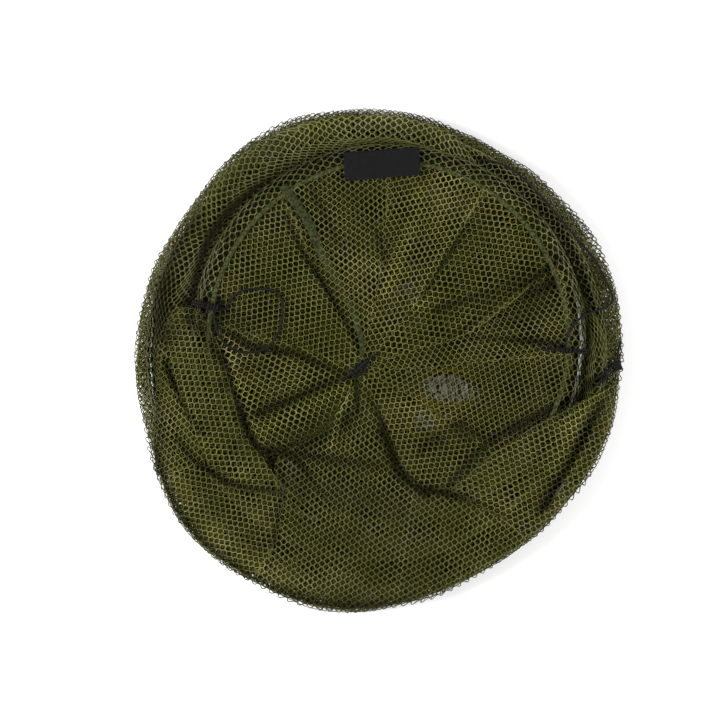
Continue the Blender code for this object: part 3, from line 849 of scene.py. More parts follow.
# %% Lines of the folds: pixels, depth at both ends, reach to the left and to the right
FOLDS = (
    (((193, 324), (192, 300), (197, 272)), 3, 6, 5, 4),
    (((197, 272), (204, 247), (214, 228), (232, 206)), 4, 6, 5, 4),
    (((232, 206), (252, 190), (272, 178)), 6, 4, 4, 3),
    (((272, 178), (300, 166), (345, 150)), 3, 2, 3, 3),
    (((560, 230), (580, 268), (588, 310), (588, 345), (580, 380)), 2, 5, 3, 3),
    (((285, 214), (300, 248), (321, 281)), 3, 6, 2, 3),
    (((321, 281), (342, 316), (360, 350)), 5, 3, 2, 3),
    (((312, 192), (321, 206), (330, 225), (340, 247)), 3, 2, 3, 3),
    (((482, 204), (452, 250), (424, 296)), 4, 6, 7, 2),
    (((556, 265), (520, 289), (490, 311), (460, 333)), 8, 5, 10, 2),
    (((552, 283), (528, 296)), 5, 3, 8, 8),
    (((436, 309), (465, 300), (500, 289), (522, 281)), 4, 2, 4, 3),
    (((465, 337), (515, 340), (545, 343), (566, 348)), 2, 6, 3, 4),
    (((614, 365), (590, 383), (575, 396), (540, 411), (513, 425)), 8, 6, 2, 9),
    (((513, 425), (484, 444), (458, 472), (444, 491)), 5, 3, 2, 6),
    (((357, 382), (357, 396), (358, 413)), 6, 4, 3, 3),
    (((366, 388), (378, 412), (386, 430)), 1, 5, 4, 2),
    (((386, 430), (393, 447), (402, 470), (426, 490)), 6, 6, 8, 2),
    (((426, 489), (455, 495), (480, 505), (507, 518)), 6, 2, 4, 4),
    (((420, 453), (430, 442), (446, 430), (464, 423)), 3, 4, 4, 4),
    (((455, 425), (475, 433), (492, 444)), 4, 3, 4, 4),
    (((352, 374), (320, 387), (290, 400), (256, 414)), 3, 6, 4, 4),
    (((345, 420), (322, 433), (300, 445)), 4, 4, 12, 12),
    (((505, 222), (488, 244), (470, 264)), 0.4, 0.4, 12, 12),
    (((300, 480), (350, 498), (405, 508)), 1.6, 1.6, 22, 22),
    (((330, 540), (380, 560), (430, 565)), 1.0, 1.0, 22, 22),
    (((196, 470), (225, 515), (250, 540)), 0.8, 0.8, 16, 16),
    (((184, 303), (200, 304), (218, 303)), 5, 7, 5, 5),
    (((240, 395), (246, 415)), 3, 4, 6, 6),
    (((545, 302), (522, 315), (500, 326)), 1.8, 1.8, 12, 9),
    (((378, 236), (382, 252), (384, 266)), 3, 2, 4, 4),
    (((300, 412), (318, 405), (334, 396)), 1, 2, 7, 7),
    (((262, 590), (330, 606), (400, 608), (480, 590), (545, 555)), 4, 4, 9, 9),
    (((430, 441), (450, 436), (472, 434)), 3, 3, 9, 9),
    (((206, 312), (222, 320), (242, 331)), 3, 2, 12, 12),
    (((150, 330), (153, 380), (158, 450)), 3, 3, 8, 8),
    (((280, 449), (320, 455), (385, 464)), 5, 2, 9, 2),
    (((211, 330), (222, 358), (233, 388), (243, 414)), 1, 4, 4, 2),
    (((243, 414), (253, 436), (266, 451)), 6, 3, 6, 2),
    (((262, 448), (277, 466), (284, 485), (281, 505), (274, 546)), 4, 3, 3, 3),
    (((272, 450), (298, 462), (312, 480), (326, 498)), 6, 3, 3, 3),
    (((165, 362), (176, 388), (190, 415), (204, 434)), 6, 3, 3, 3),
    (((176, 438), (190, 458), (206, 470), (228, 484)), 3, 6, 2, 5),
    (((228, 484), (255, 490), (282, 492)), 6, 4, 2, 4),
    (((214, 326), (232, 335), (254, 347), (295, 353)), 6, 5, 4, 5),
    (((295, 353), (328, 367), (352, 374)), 5, 3, 4, 4),
    (((190, 318), (205, 330), (216, 350), (228, 366)), 4, 4, 7, 4),
    (((602, 406), (578, 450), (563, 476), (547, 507)), 4, 6, 9, 3),
    (((152, 440), (170, 500), (208, 550), (262, 586)), 4.5, 4.5, 6, 6),
    (((186, 215), (170, 250), (160, 295), (160, 335)), 4, 4, 14, 14),
    (((225, 385), (240, 370), (262, 366)), 3, 2, 8, 8),
)
RIDGES = (
    (((346, 388), (305, 409), (262, 431)), 4, 5, 5, 5),
    (((346, 398), (338, 420), (331, 447)), 4, 3, 3, 3),
    (((418, 192), (408, 230), (395, 262), (384, 290)), 7, 4, 5, 7),
    (((477, 203), (448, 245), (416, 304)), 5, 5, 5, 6),
    (((548, 259), (498, 302), (455, 327)), 4, 5, 5, 6),
    (((598, 392), (575, 420), (555, 470)), 4, 4, 10, 8),
    (((176, 478), (212, 530), (256, 566), (310, 588)), 1.6, 2.4, 7, 7),
    (((222, 330), (237, 380), (258, 440)), 3, 4, 3, 7),
    (((343, 262), (375, 266), (398, 272)), 2, 3, 8, 8),
    (((385, 330), (360, 300), (345, 260)), 1.5, 1.5, 10, 10),
    (((400, 403), (430, 415), (455, 440)), 3, 2, 6, 6),
    (((212, 300), (222, 250), (262, 205), (300, 183)), 2, 3, 3, 3),
    (((440, 175), (500, 195), (548, 238), (570, 290)), 4, 4, 5, 5),
    (((395, 215), (425, 210), (450, 235)), 1.5, 1.5, 18, 18),
    (((505, 225), (520, 245), (530, 265)), 1.2, 1.2, 14, 14),
    (((470, 520), (520, 500), (560, 480)), 1.2, 1.2, 14, 14),
    (((180, 395), (205, 440), (240, 470)), 1.5, 1.5, 7, 7),
    (((445, 200), (440, 180)), 3, 3, 13, 13),
    (((300, 128), (377, 113), (450, 124), (500, 142)), 4, 4, 12, 12),
)
FOLD_STEP = 5.0
FULL_DEPTH = 8.0
PLAIN_OPENNESS = 0.6
LEAST_OPENNESS = 0.08
LIFT_SHARE, PRESS_SHARE = 0.9, 0.95


def lines_at(x, y, lines):
    """How much the given lines press or lift each place, in millimetres."""
    most = 0 * x
    for marks, first_depth, last_depth, left_reach, right_reach in lines:
        line = smooth([seen(*mark, 0) for mark in marks], FOLD_STEP)[:, :2]
        nearest, side, share = np.full(x.shape, 1e9), 0 * x, 0 * x
        for number, (start, end) in enumerate(zip(line, line[1:])):
            way = end - start
            along = ((x - start[0]) * way[0] + (y - start[1]) * way[1]) / way.dot(way)
            held = np.clip(along, 0, 1)
            away = np.hypot(x - start[0] - held * way[0], y - start[1] - held * way[1])
            closer = away < nearest
            nearest = np.where(closer, away, nearest)
            turned = (x - start[0]) * way[1] - (y - start[1]) * way[0]
            side = np.where(closer, turned, side)
            share = np.where(closer, (number + held) / (len(line) - 1), share)
        reach = np.where(side > 0, left_reach, right_reach)
        depth = first_depth + (last_depth - first_depth) * share
        most = np.maximum(most, depth * np.exp(-((nearest / reach) ** 2)))
    return most


def relief_at(x, y):
    """How far the folds press down and the ridges lift each place, in millimetres."""
    return lines_at(x, y, FOLDS), lines_at(x, y, RIDGES)


def openness(pressed, lifted):
    """How much light a place gets, from 0 in the deepest folds to 1."""
    change = (LIFT_SHARE * lifted - PRESS_SHARE * pressed) / FULL_DEPTH
    return np.clip(PLAIN_OPENNESS + change, LEAST_OPENNESS, 1)


# %% [markdown]
# ## Rings of netting
#
# The body's netting is a tube. Folded flat, it goes in and out between two hoops. Each ring
# sheet is given by stations: a radius, a height and how far the station shares the mouth's
# shift. The height never falls from the lower hoop to the upper one.

# %% Ring sheets
LEG_STEPS = 9
SLACK = 3.0
HOOPS_MIDDLE = np.zeros(2)
THIN_PLACES = (
    ((438, 389), 1.8), ((452, 388), 1.9), ((467, 389), 1.4), ((424, 420), 1.5), ((410, 290), 0.9),
)
THIN_REACH = 9.0


def drawn_apart(x, y):
    """Places moved away from the thin places, where the hidden layers lie drawn apart."""
    for mark, strength in THIN_PLACES:
        middle = seen(*mark, 0)
        away_x, away_y = x - middle[0], y - middle[1]
        push = strength * np.exp(-(away_x**2 + away_y**2) / THIN_REACH**2)
        x, y = x + away_x * push, y + away_y * push
    return x, y


def station_ring(number, last, station, inside):
    """The points of one station at those turns. All but the end stations lie a little slack."""
    radius, height, middle = station
    r = (radius(inside) if callable(radius) else radius) + 0 * inside
    z = (height(inside) if callable(height) else height) + 0 * inside
    slack = 0 if number in (0, last) else SLACK * ripple(inside, number)
    x = middle[0] + r * np.cos(inside + slack / BODY_RADIUS)
    y = middle[1] + r * np.sin(inside + slack / BODY_RADIUS)
    return np.stack((x, y, z), axis=-1)


def ring_net(stations, flat_width, shades, part=(0.0, 1.0), creased=False, parted=False, **more):
    """A net on a ring sheet through stations of (radius, height, middle), and its length.

    shades gives each station's share of light, and part the share of the turn that it covers.
    A creased net also takes the folds' shade, and a parted one leaves the thin places.
    """
    start, end = (share * 2 * np.pi for share in part)
    inside = turns[(turns >= start - 1e-9) & (turns <= end + 1e-9)]
    last = len(stations) - 1
    rings = [station_ring(k, last, station, inside) for k, station in enumerate(stations)]
    path = [rings[0]]
    for low, high in zip(rings, rings[1:]):
        path += [low + (high - low) * k / LEG_STEPS for k in range(1, LEG_STEPS + 1)]
    points = np.array(path)
    if parted:
        points[..., 0], points[..., 1] = drawn_apart(points[..., 0], points[..., 1])
    legs = np.percentile(np.linalg.norm(np.diff(points, axis=0), axis=2), 75, axis=1)
    run = np.concatenate([[0], np.cumsum(legs)])
    length = run[-1]
    along = np.broadcast_to((run / length)[:, None], points.shape[:2])
    share = (inside - inside[0]) / (inside[-1] - inside[0])
    around = np.broadcast_to(share[None, :], points.shape[:2])
    light = np.interp(np.linspace(0, last, len(points)), range(len(stations)), shades)[:, None]
    if creased:
        light = light * openness(*relief_at(points[..., 0], points[..., 1]))
    else:
        light = light * np.full(points.shape[:2], PLAIN_OPENNESS)
    sheet = sheet_mesh("ring", points, np.stack((along, around), axis=-1), light)
    share = part[1] - part[0]
    whole = {"Closed Round": share > 0.999}
    return knitted(sheet, length, flat_width * share, **whole, **more), length


# %% [markdown]
# ## The base net
#
# A round piece of netting closes the bottom. It is cut from one flat cloth, so its lattice
# runs straight across, clipped by the hoop.

# %% Base net
BASE_NET_STEPS = 80
BASE_NET_RADIUS = BODY_SEAM - 0.6
BASE_NET_HEIGHT = BASE_HEIGHT - 1.0
BASE_NET_SAG = 0.25
SAG_WAVES = (9, 7)
BASE_OPENNESS = 0.8


def base_net():
    """The base's net on a round sheet: a square grid bent to a disc."""
    line = np.linspace(-1, 1, BASE_NET_STEPS + 1)
    u, v = np.meshgrid(line, line, indexing="ij")
    x = u * np.sqrt(1 - v**2 / 2)
    y = v * np.sqrt(1 - u**2 / 2)
    sag = BASE_NET_SAG * np.sin(x * SAG_WAVES[0] + 1) * np.cos(y * SAG_WAVES[1])
    places = drawn_apart(x * BASE_NET_RADIUS, y * BASE_NET_RADIUS)
    points = np.stack((*places, BASE_NET_HEIGHT + sag), axis=-1)
    uv = np.stack(((x + 1) / 2, (y + 1) / 2), axis=-1)
    sheet = sheet_mesh("base", points, uv, np.full(x.shape, BASE_OPENNESS))
    across = 2 * BASE_NET_RADIUS
    return knitted(sheet, across, across, THICK_THREAD)


base_floor = net_piece("base_netting", [base_net()], deep_shaded_twine)
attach(base_floor, "base")
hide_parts("base_net")

# %% [markdown]
# ## The body's sleeves
#
# Between two body hoops the netting lies in deep folds: in towards the middle, out past the
# rim, in a little and back. The deep folds leave a few thin places near the middle, where
# the white sheet shines through in the photograph.

# %% Sleeves
BODY_WIDTH = 2 * np.pi * BODY_RADIUS
FOLD_BEND = 3.0
SLEEVE_PARTS = 3
SLEEVE_THREAD = 0.5
# Painted shade: the share of light given to the sleeves' hidden passes.
HIDDEN = 0.15
SLEEVE_WIDTH = 1.12 * BODY_WIDTH
SLEEVE_START, SLEEVE_END = 0.9, 9.6
RIM_HEIGHTS = (2.9, 4.5, 6.1)
RIM_INNERS = (190.0, 184.0, 184.0)
RIM_SHORTS = (1.2, 0.0, 2.6)
BACK_FOLD = 165.0
LACY_PARTS = ((4.0, 72, 128), (6.0, 18, 40))
DRAWN_BACK = ((-24.5, 13, 44), (-53, 12, 44), (64, 11, 24))
DEEP_WAVES, DEEP_RIPPLE = (3, 5, 8), 7.0
BENDS = (FOLD_BEND, 0, FOLD_BEND)
INNER_HEIGHTS = (1.8, 2.2, 2.6)
BEND_HEIGHTS = (0.3, 0.7, 1.1)
BACK_HEIGHTS = (7.7, 8.1, 8.5)


def deep_fold(turn, seed, reach):
    """Radius of the deepest fold. It draws back near the thin places."""
    radius = reach + ripple(turn, seed, DEEP_WAVES, DEEP_RIPPLE)
    for degrees, half_width, more in DRAWN_BACK:
        away = (np.degrees(turn) - degrees + 180) % 360 - 180
        radius = radius + more * np.exp(-((away / half_width) ** 4))
    return radius


def sleeve(low, seed, reach, outward, rim_shades):
    """Stations of one sleeve whose lower hoop is at that height, and their shades."""

    def inner(bend):
        return lambda t: deep_fold(t, seed, reach) + bend

    def outer(bend, number):
        def line(t):
            lacy = sum(more * between(t, start, end) for more, start, end in LACY_PARTS)
            short = RIM_SHORTS[number] + bend - outward + lacy * (number > 0)
            return rim(t) - short + ripple(t, seed + number, size=1.4)

        return line

    profile = [(BODY_SEAM, SLEEVE_START, HIDDEN)]
    profile += [(inner(bend), z, HIDDEN) for bend, z in zip(BENDS, INNER_HEIGHTS)]
    for number, (height, shade) in enumerate(zip(RIM_HEIGHTS, rim_shades)):
        profile.append((RIM_INNERS[number], height, shade))
        for bend, more in zip(BENDS, BEND_HEIGHTS):
            profile.append((outer(bend, number), height + more, shade))
    profile += [(BACK_FOLD + bend, z, HIDDEN) for bend, z in zip(BENDS, BACK_HEIGHTS)]
    profile.append((BODY_SEAM, SLEEVE_END, HIDDEN))
    radii, heights, shades = zip(*profile)
    return [(r, low + z, HOOPS_MIDDLE) for r, z in zip(radii, heights)], shades


def sleeve_pieces(name, node, bodies, *sizes):
    """One sleeve in parts, each a third of the turn. The bodies are not used."""
    stations, shades = sleeve(*sizes)
    for side in range(SLEEVE_PARTS):
        part = (side / SLEEVE_PARTS, (side + 1) / SLEEVE_PARTS)
        mesh, length = ring_net(stations, SLEEVE_WIDTH, shades, part, radius=SLEEVE_THREAD)
        piece = net_piece(f"{name}_{side + 1}", [mesh], twine)
        stretching(piece)
        folded(node)
    print(name, "opens to", round(length), "mm of netting")


LOWER_SIZES = (BASE_HEIGHT, 3, 138.0, 2.0, (0.4, 0.35, 0.35))
MIDDLE_SIZES = (MIDDLE_HEIGHT, 8, 50.0, 1.0, (0.55, 0.45, 0.85))
sleeve_pieces("lower_netting", "lower_sleeve", ("base", "middle_ring"), *LOWER_SIZES)
sleeve_pieces("middle_netting", "middle_sleeve", ("middle_ring", "upper_ring"), *MIDDLE_SIZES)

# %% [markdown]
# ## The pockets round the hoops
#
# Each hoop lies in a pocket, a strip of netting folded over the wire and sewn inside it. The
# mouth's pocket shows from above: two or three rows of pale cells beside the tape.

# %% Pockets
POCKET_LININGS = ((0.0, "outer"), (0.75, "inner"))
POCKET_THREAD = 0.52
POCKET_EDGE = 0.9
POCKET_TURNS = (125, 90, 60, 30, 0, -30, -60, -90, -125)


def pocket(hoop, body, radius, reach, height, middle, seam, flat_width, finish, light=1.0):
    """A doubled strip of netting round one hoop, from the seam over the wire and back."""
    for inset, layer in POCKET_LININGS:
        outer = layer == "outer"
        around = [math.radians(a) for a in POCKET_TURNS]
        round_wire = [
            (radius + (reach - inset) * math.cos(a), height + (reach - inset) * math.sin(a), middle)
            for a in around
        ]
        edge = POCKET_EDGE - inset / 2
        ends = [(seam, height + level * edge, middle) for level in (1, -1)]
        stations = [ends[0], *round_wire, ends[1]]
        shades = np.full(len(stations), light)
        thread = POCKET_THREAD if outer else THREAD
        mesh, length = ring_net(stations, flat_width, shades, creased=True, radius=thread)
        cloth = finish if outer else shaded_twine
        piece = net_piece(f"{hoop}_pocket_{layer}", [mesh], cloth)
        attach(piece, body)
        folded(hoop + "_hem")


MOUTH_POCKET_WIDTH = 900.0
MOUTH_POCKET = (MOUTH_RADIUS, 3.45, MOUTH_HEIGHT, MOUTH_MIDDLE, MOUTH_SEAM, MOUTH_POCKET_WIDTH)
BODY_POCKET_REACH = 3.15
BODY_HOOPS = (
    ("base", "base", BASE_HEIGHT, deep_shaded_twine, 1.0),
    ("middle", "middle_ring", MIDDLE_HEIGHT, deep_shaded_twine, 1.0),
    ("upper", "upper_ring", UPPER_HEIGHT, hem_twine, 1.5),
)
for hoop, body, height, finish, light in BODY_HOOPS:
    sizes = (BODY_RADIUS, BODY_POCKET_REACH, height, HOOPS_MIDDLE, BODY_SEAM, BODY_WIDTH)
    pocket(hoop, body, *sizes, finish, light)
pocket("mouth", "mouth", *MOUTH_POCKET, hem_twine)

# %% [markdown]
# ## The shoulder
#
# The shoulder joins the upper hoop to the mouth hoop. Round the top left of the picture it
# bulges out to the rim and back in, which makes the broad band outside the mouth. Elsewhere
# it lies folded under the mouth hoop.

# %% Shoulder
HIGH_FROM, HIGH_TO = 64.0, 160.0
WIDE_FROM, WIDE_TO = -38.0, 196.0
PLAIN_REACH, RIGHT_REACH, LEFT_REACH = 189.0, 17.0, 12.0
RIGHT_TO, LEFT_FROM = 12, 158
SHOULDER_START, SHOULDER_END = UPPER_HEIGHT + 0.9, MOUTH_HEIGHT - 0.9


def bulging(turn):
    """1 where the shoulder stands high above the upper hoop, in the upper left."""
    return between(turn, HIGH_FROM, HIGH_TO)


def out_to(turn, inner, short):
    """A radius between an inner one and the rim: all the way where it is high, else less."""
    high, wide = bulging(turn), between(turn, WIDE_FROM, WIDE_TO)
    right = RIGHT_REACH * between(turn, WIDE_FROM, RIGHT_TO)
    left = LEFT_REACH * between(turn, LEFT_FROM, WIDE_TO)
    plain = PLAIN_REACH + right + left
    reach = (rim(turn) - short) * high + (plain - 0.5 * short) * (1 - high)
    return inner + (reach - inner) * wide


def shoulder_stations():
    """Stations of the shoulder, from the upper hoop's seam to the mouth's."""

    def wave(t):
        return ripple(t, 21, size=1.2)

    def out(inner, short):
        return lambda t: out_to(t, inner, short) + wave(t)

    def level(low, high):
        return lambda t: low + (high - low) * bulging(t)

    hoops, mouth = HOOPS_MIDDLE, MOUTH_MIDDLE
    return (
        (BODY_SEAM, SHOULDER_START, hoops),
        (112.0, 26.1, 0.2 * mouth),
        (109.0, 26.6, 0.2 * mouth),
        (112.0, 27.1, 0.2 * mouth),
        (out(176, 22), level(27.2, 28.5), hoops),
        (out(180, 9), level(28.7, 28.9), hoops),
        (out(181, 6), level(28.9, 29.6), hoops),
        (out(180, 9), level(29.0, 30.4), hoops),
        (out(176, 17), level(28.6, 30.6), hoops),
        (out(175, 20), level(28.4, 31.0), hoops),
        (out(176, 17), level(28.6, 31.4), hoops),
        (out(180, 10), level(29.0, 31.8), hoops),
        (out(181, 7), level(29.2, 32.6), hoops),
        (out(180, 10), level(29.3, 33.6), hoops),
        (out(178, 27), lambda t: 29.2 + (4.5 + wave(t)) * bulging(t), hoops),
        (178.5, level(28.8, 29.6), 0.75 * mouth),
        (168.0, 28.9, mouth),
        (163.0, 29.9, mouth),
        (MOUTH_SEAM, 32.1, mouth),
    )


SHOULDER_SHADES = (*[0.3] * 11, 0.5, 0.7, 1.0, 1.0, 0.6, 0.5, 0.5, 0.5)
SHOULDER_WIDTH = 0.98 * BODY_WIDTH
SHOULDER_PARTS = 2
SHOULDER_THREAD = 0.53
for side in range(SHOULDER_PARTS):
    part = (side / SHOULDER_PARTS, (side + 1) / SHOULDER_PARTS)
    shoulder_mesh, shoulder_length = ring_net(
        shoulder_stations(),
        SHOULDER_WIDTH,
        SHOULDER_SHADES,
        part,
        creased=True,
        radius=SHOULDER_THREAD,
    )
    shoulder = net_piece(f"shoulder_netting_{side + 1}", [shoulder_mesh], twine)
    stretching(shoulder)
    folded("shoulder_sleeve")

# %% [markdown]
# ## The throat
#
# The throat closes the mouth. It is pulled together by the drawstring, so its netting lies
# in flat panels that meet at creases, each panel with its own lattice direction. In the lower
# half of the picture the slack panels lie over the mouth hoop, out to the rim. Each crease is
# a named line of pixels and heights, and each panel lies between two of them.

# %% Creases of the throat, from the gather outwards: pixel, pixel, height in millimetres
LEFT_VALLEY = ((358, 368, 37.6), (320, 354, 35), (275, 341, 33), (240, 331, 34), (211, 322, 33.9))
BESIDE_RIBBON = (
    (359, 366, 37.6), (344, 330, 35), (330, 292, 33), (312, 262, 32.5), (297, 225, 33),
    (282, 197, 33.9),
)
UPPER_VALLEY = ((361, 365, 37.6), (368, 330, 34), (377, 290, 32), (385, 235, 33), (389, 163, 33.9))
DIAGONAL_VALLEY = (
    (363, 366, 37.6), (395, 330, 33), (429, 286, 30), (450, 250, 29.5), (466, 220, 31),
    (485, 190, 33.9),
)
OVERLAP_RIDGE = (
    (364, 367, 37.6), (410, 352, 34.8), (465, 334, 35), (498, 311, 35.6), (525, 289, 35.8),
    (546, 261, 33.9),
)
UNDER_RIDGE = (
    (364, 367.5, 37.2), (410, 350, 32.5), (465, 330, 30.5), (498, 306, 30), (525, 284, 31),
    (546, 261, 33.6),
)
RIGHT_SOFT = ((364, 368, 37.6), (420, 368, 34.5), (480, 361, 34), (530, 356, 34), (564, 352, 33.9))
POUCH_SIDE = ((364, 370, 37.6), (405, 392, 33.5), (440, 413, 32), (475, 438, 31.5), (512, 466, 31))
POUCH_FOOT = (
    (362, 371, 37.4), (379, 404, 33), (387, 434, 31.5), (395, 457, 30.5), (409, 484, 30),
    (428, 512, 30),
)
TONGUE_RIGHT = (
    (362, 371, 37.6), (376, 405, 35), (383, 434, 35.5), (392, 457, 35.5), (408, 483, 36),
    (440, 493, 36.6), (468, 502, 37.6), (495, 515, 36.4), (527, 539, 27.5),
)
TONGUE_LEFT = (
    (360, 371, 37.6), (345, 402, 34.5), (326, 428, 33.5), (297, 445, 34), (278, 460, 35.5),
    (275, 477, 36.6), (279, 494, 37.2), (279, 519, 36), (272, 545, 33), (251, 584, 27),
)
DEEP_VALLEY = (
    (358, 370, 37.2), (342, 402, 32), (324, 428, 30), (298, 449, 29.5), (276, 462, 29.5),
    (256, 472, 29.5),
)
LEFT_FOLD = (
    (190, 305, 36.8), (201, 317, 37.2), (212, 332, 37.7), (219, 350, 38), (226, 375, 38.3),
    (236, 408, 38), (246, 438, 37.6), (262, 458, 37.8), (275, 478, 38.2), (281, 492, 37.6),
)
LEFT_CREASE = (
    (186, 306, 36.0), (173, 317, 34.5), (165, 335, 33.2), (167, 357, 33.5), (175, 384, 34.5),
    (191, 418, 36), (202, 448, 37), (211, 468, 37.6),
)
LEFT_CREASE_LOW = (
    (184, 308, 34.5), (173, 318, 33), (164, 335, 32), (170, 357, 32), (178, 384, 32),
    (194, 418, 33), (206, 448, 34), (216, 470, 34),
)
LEFT_RIM = (
    (180, 305, 32.5), (167, 317, 30), (159, 334, 29.2), (157, 352, 29), (157, 380, 29),
    (157, 410, 29), (158, 440, 28.5), (161, 468, 28),
)
ROLL_FOOT = ((211, 468, 37.6), (227, 484, 38.2), (248, 491, 38.4), (266, 493, 38.2), (281, 492, 37.6))
RIM_SIDE_LEFT = ((205, 462, 35), (186, 468, 32.5), (168, 473, 29.5), (156, 476, 27))
RIM_SIDE_RIGHT = ((284, 490, 35), (281, 519, 35), (274, 545, 32.5), (253, 585, 27))
RIGHT_EDGE = (
    (452, 490, 35), (465, 479, 35.6), (488, 459, 36.2), (514, 441, 37), (535, 427, 38.2),
    (556, 413, 38.6), (580, 402, 37.6), (598, 394, 33), (617, 384, 28),
)
RIGHT_FOOT = (
    (452, 491, 34.6), (468, 501, 37.2), (482, 508, 37.6), (495, 514, 36), (527, 538, 27.2),
)

# %% Heights that a panel keeps clear of
COVER_MOUTH = 37.9
COVER_UPPER = 29.2
MOUTH_CREST, MOUTH_CREST_HALF = 167.0, 9.0
UPPER_CREST_HALF = 6.0
MOUTH_SLOPE, MOUTH_BOW, UPPER_SLOPE = 0.4, 0.03, 0.3
LEFT_LOOP = np.array((-112.5, 32.0))
LEFT_LOOP_REACH = 36.0
UNDER_LOOP = 34.6
LOOP_RISE, LOOP_SLOPE = 4.0, 14.0
OVER_TAPE = 36.0
TAPE_INSIDE = 153.0
TAPE_SLOPE = 0.3


def from_mouth(x, y):
    """How far each place lies from the middle of the mouth."""
    return np.hypot(x - MOUTH_MIDDLE[0], y - MOUTH_MIDDLE[1])


def clear_of_hoops(x, y, z):
    """Heights raised where a panel passes over the mouth pocket or the upper pocket."""
    past_mouth = np.maximum(0, np.abs(from_mouth(x, y) - MOUTH_CREST) - MOUTH_CREST_HALF)
    past_upper = np.maximum(0, np.abs(np.hypot(x, y) - BODY_RADIUS) - UPPER_CREST_HALF)
    over_mouth = COVER_MOUTH - MOUTH_SLOPE * past_mouth - MOUTH_BOW * past_mouth**2
    return np.maximum(z, np.maximum(over_mouth, COVER_UPPER - UPPER_SLOPE * past_upper))


def under_loop(x, y, z):
    """Heights pressed down where the left cord's loop lies on the throat."""
    away = np.hypot(x - LEFT_LOOP[0], y - LEFT_LOOP[1])
    rise = LOOP_RISE * np.clip((away - LEFT_LOOP_REACH) / LOOP_SLOPE, 0, 1) ** 1.5
    return np.minimum(z, UNDER_LOOP + rise)


def over_tape(x, y, z):
    """Heights raised where the throat runs out over the tape, to the wire."""
    short = np.maximum(0, TAPE_INSIDE - from_mouth(x, y))
    return np.maximum(z, OVER_TAPE - TAPE_SLOPE * short)


# %% The outer edge and the margins of a panel
MARGIN = 9.0
MARGIN_STEPS = 7
ROLL_BEND = 1.1
ROLL_SLOPE = 0.1
SLIP_SLOPE = 0.42
SHORT_OF_RIM = 4.0
PAST_SEAM = {"seam": -0.8, "wire": 5.5}
LINE_STEP = 3.0


def resampled(line, count):
    """The same line with count points, evenly spaced."""
    line = smooth(traced(line), LINE_STEP)
    run = run_along(line)
    where = np.linspace(0, run[-1], count)
    return np.stack([np.interp(where, run, line[:, k]) for k in range(3)], axis=-1)


def arc(start, end, count, kind):
    """The outer edge from start to end: on the mouth's seam, over the tape or on the rim."""
    middle = np.zeros(2) if kind == "rim" else MOUTH_MIDDLE
    first, last = (math.atan2(p[1] - middle[1], p[0] - middle[0]) for p in (start, end))
    if last - first > math.pi:
        last -= math.tau
    if first - last > math.pi:
        first -= math.tau
    turn = np.linspace(first, last, count)
    if kind == "rim":
        reach = rim(turn % math.tau) - SHORT_OF_RIM
    else:
        reach = MOUTH_SEAM + PAST_SEAM[kind]
    x, y = middle[0] + reach * np.cos(turn), middle[1] + reach * np.sin(turn)
    z = np.linspace(start[2], end[2], count)
    return np.stack((x, y, z), axis=-1)


def beyond(edge, inward, how):
    """Rows of points past an edge: rolled under the panel, or slipped under its neighbour.

    edge holds the edge's points, and inward the unit way back into the panel at each.
    """
    rows = []
    half_turn = math.pi * ROLL_BEND
    for k in range(1, MARGIN_STEPS + 1):
        past = MARGIN * k / MARGIN_STEPS
        turn = past / ROLL_BEND
        if how == "slip":
            out, down = past, SLIP_SLOPE * past
        elif past < half_turn:
            out, down = ROLL_BEND * math.sin(turn), ROLL_BEND * (1 - math.cos(turn))
        else:
            out, down = half_turn - past, 2 * ROLL_BEND + ROLL_SLOPE * (past - half_turn)
        row = edge - inward * out
        row[:, 2] -= down
        rows.append((row, edge[:, :2] - inward[:, :2] * past))
    return rows


def unit(vectors):
    """The same ways laid level, each one long."""
    vectors = vectors.copy()
    vectors[:, 2] = 0
    return vectors / np.maximum(np.linalg.norm(vectors, axis=1), 1e-6)[:, None]


def with_margins(block, sides, end):
    """A panel's points with its margins, and the place of each on the flat cloth.

    The corners past an outer margin hold NaN, so the sheet has no quads there.
    """
    flat = block[..., :2].copy()
    edges = ((block[:, 0], block[:, 2]), (block[:, -1], block[:, -3]))
    for side, (edge, inner) in enumerate(edges):
        tangent = unit(np.gradient(edge, axis=0))
        inward = np.stack((-tangent[:, 1], tangent[:, 0], 0 * tangent[:, 0]), axis=-1)
        inward *= np.sign(((inner - edge) * inward).sum(axis=1))[:, None]
        order = 1 if side else -1
        for row, flat_row in beyond(edge, inward, sides[side]):
            block = np.concatenate((block, row[:, None])[::order], axis=1)
            flat = np.concatenate((flat, flat_row[:, None])[::order], axis=1)
    if end in ("seam", "wire"):
        return block, flat
    own = slice(MARGIN_STEPS, -MARGIN_STEPS)
    edge = block[-1, own]
    for row, flat_row in beyond(edge, unit(block[-4, own] - edge), "roll"):
        wide = np.full((1, block.shape[1], 3), np.nan)
        wide_flat = np.zeros((1, block.shape[1], 2))
        wide[0, own], wide_flat[0, own] = row, flat_row
        block = np.concatenate((block, wide), axis=0)
        flat = np.concatenate((flat, wide_flat), axis=0)
    return block, flat


def rows_along(flat, used, direction):
    """UVs that turn the flat cloth's rows that way, in degrees, and its length and breadth."""
    turn = math.radians(direction)
    along = flat[..., 0] * math.cos(turn) + flat[..., 1] * math.sin(turn)
    beside = flat[..., 1] * math.cos(turn) - flat[..., 0] * math.sin(turn)
    low = (along[used].min(), beside[used].min())
    length, breadth = np.ptp(along[used]), np.ptp(beside[used])
    return np.stack(((along - low[0]) / length, (beside - low[1]) / breadth), -1), length, breadth


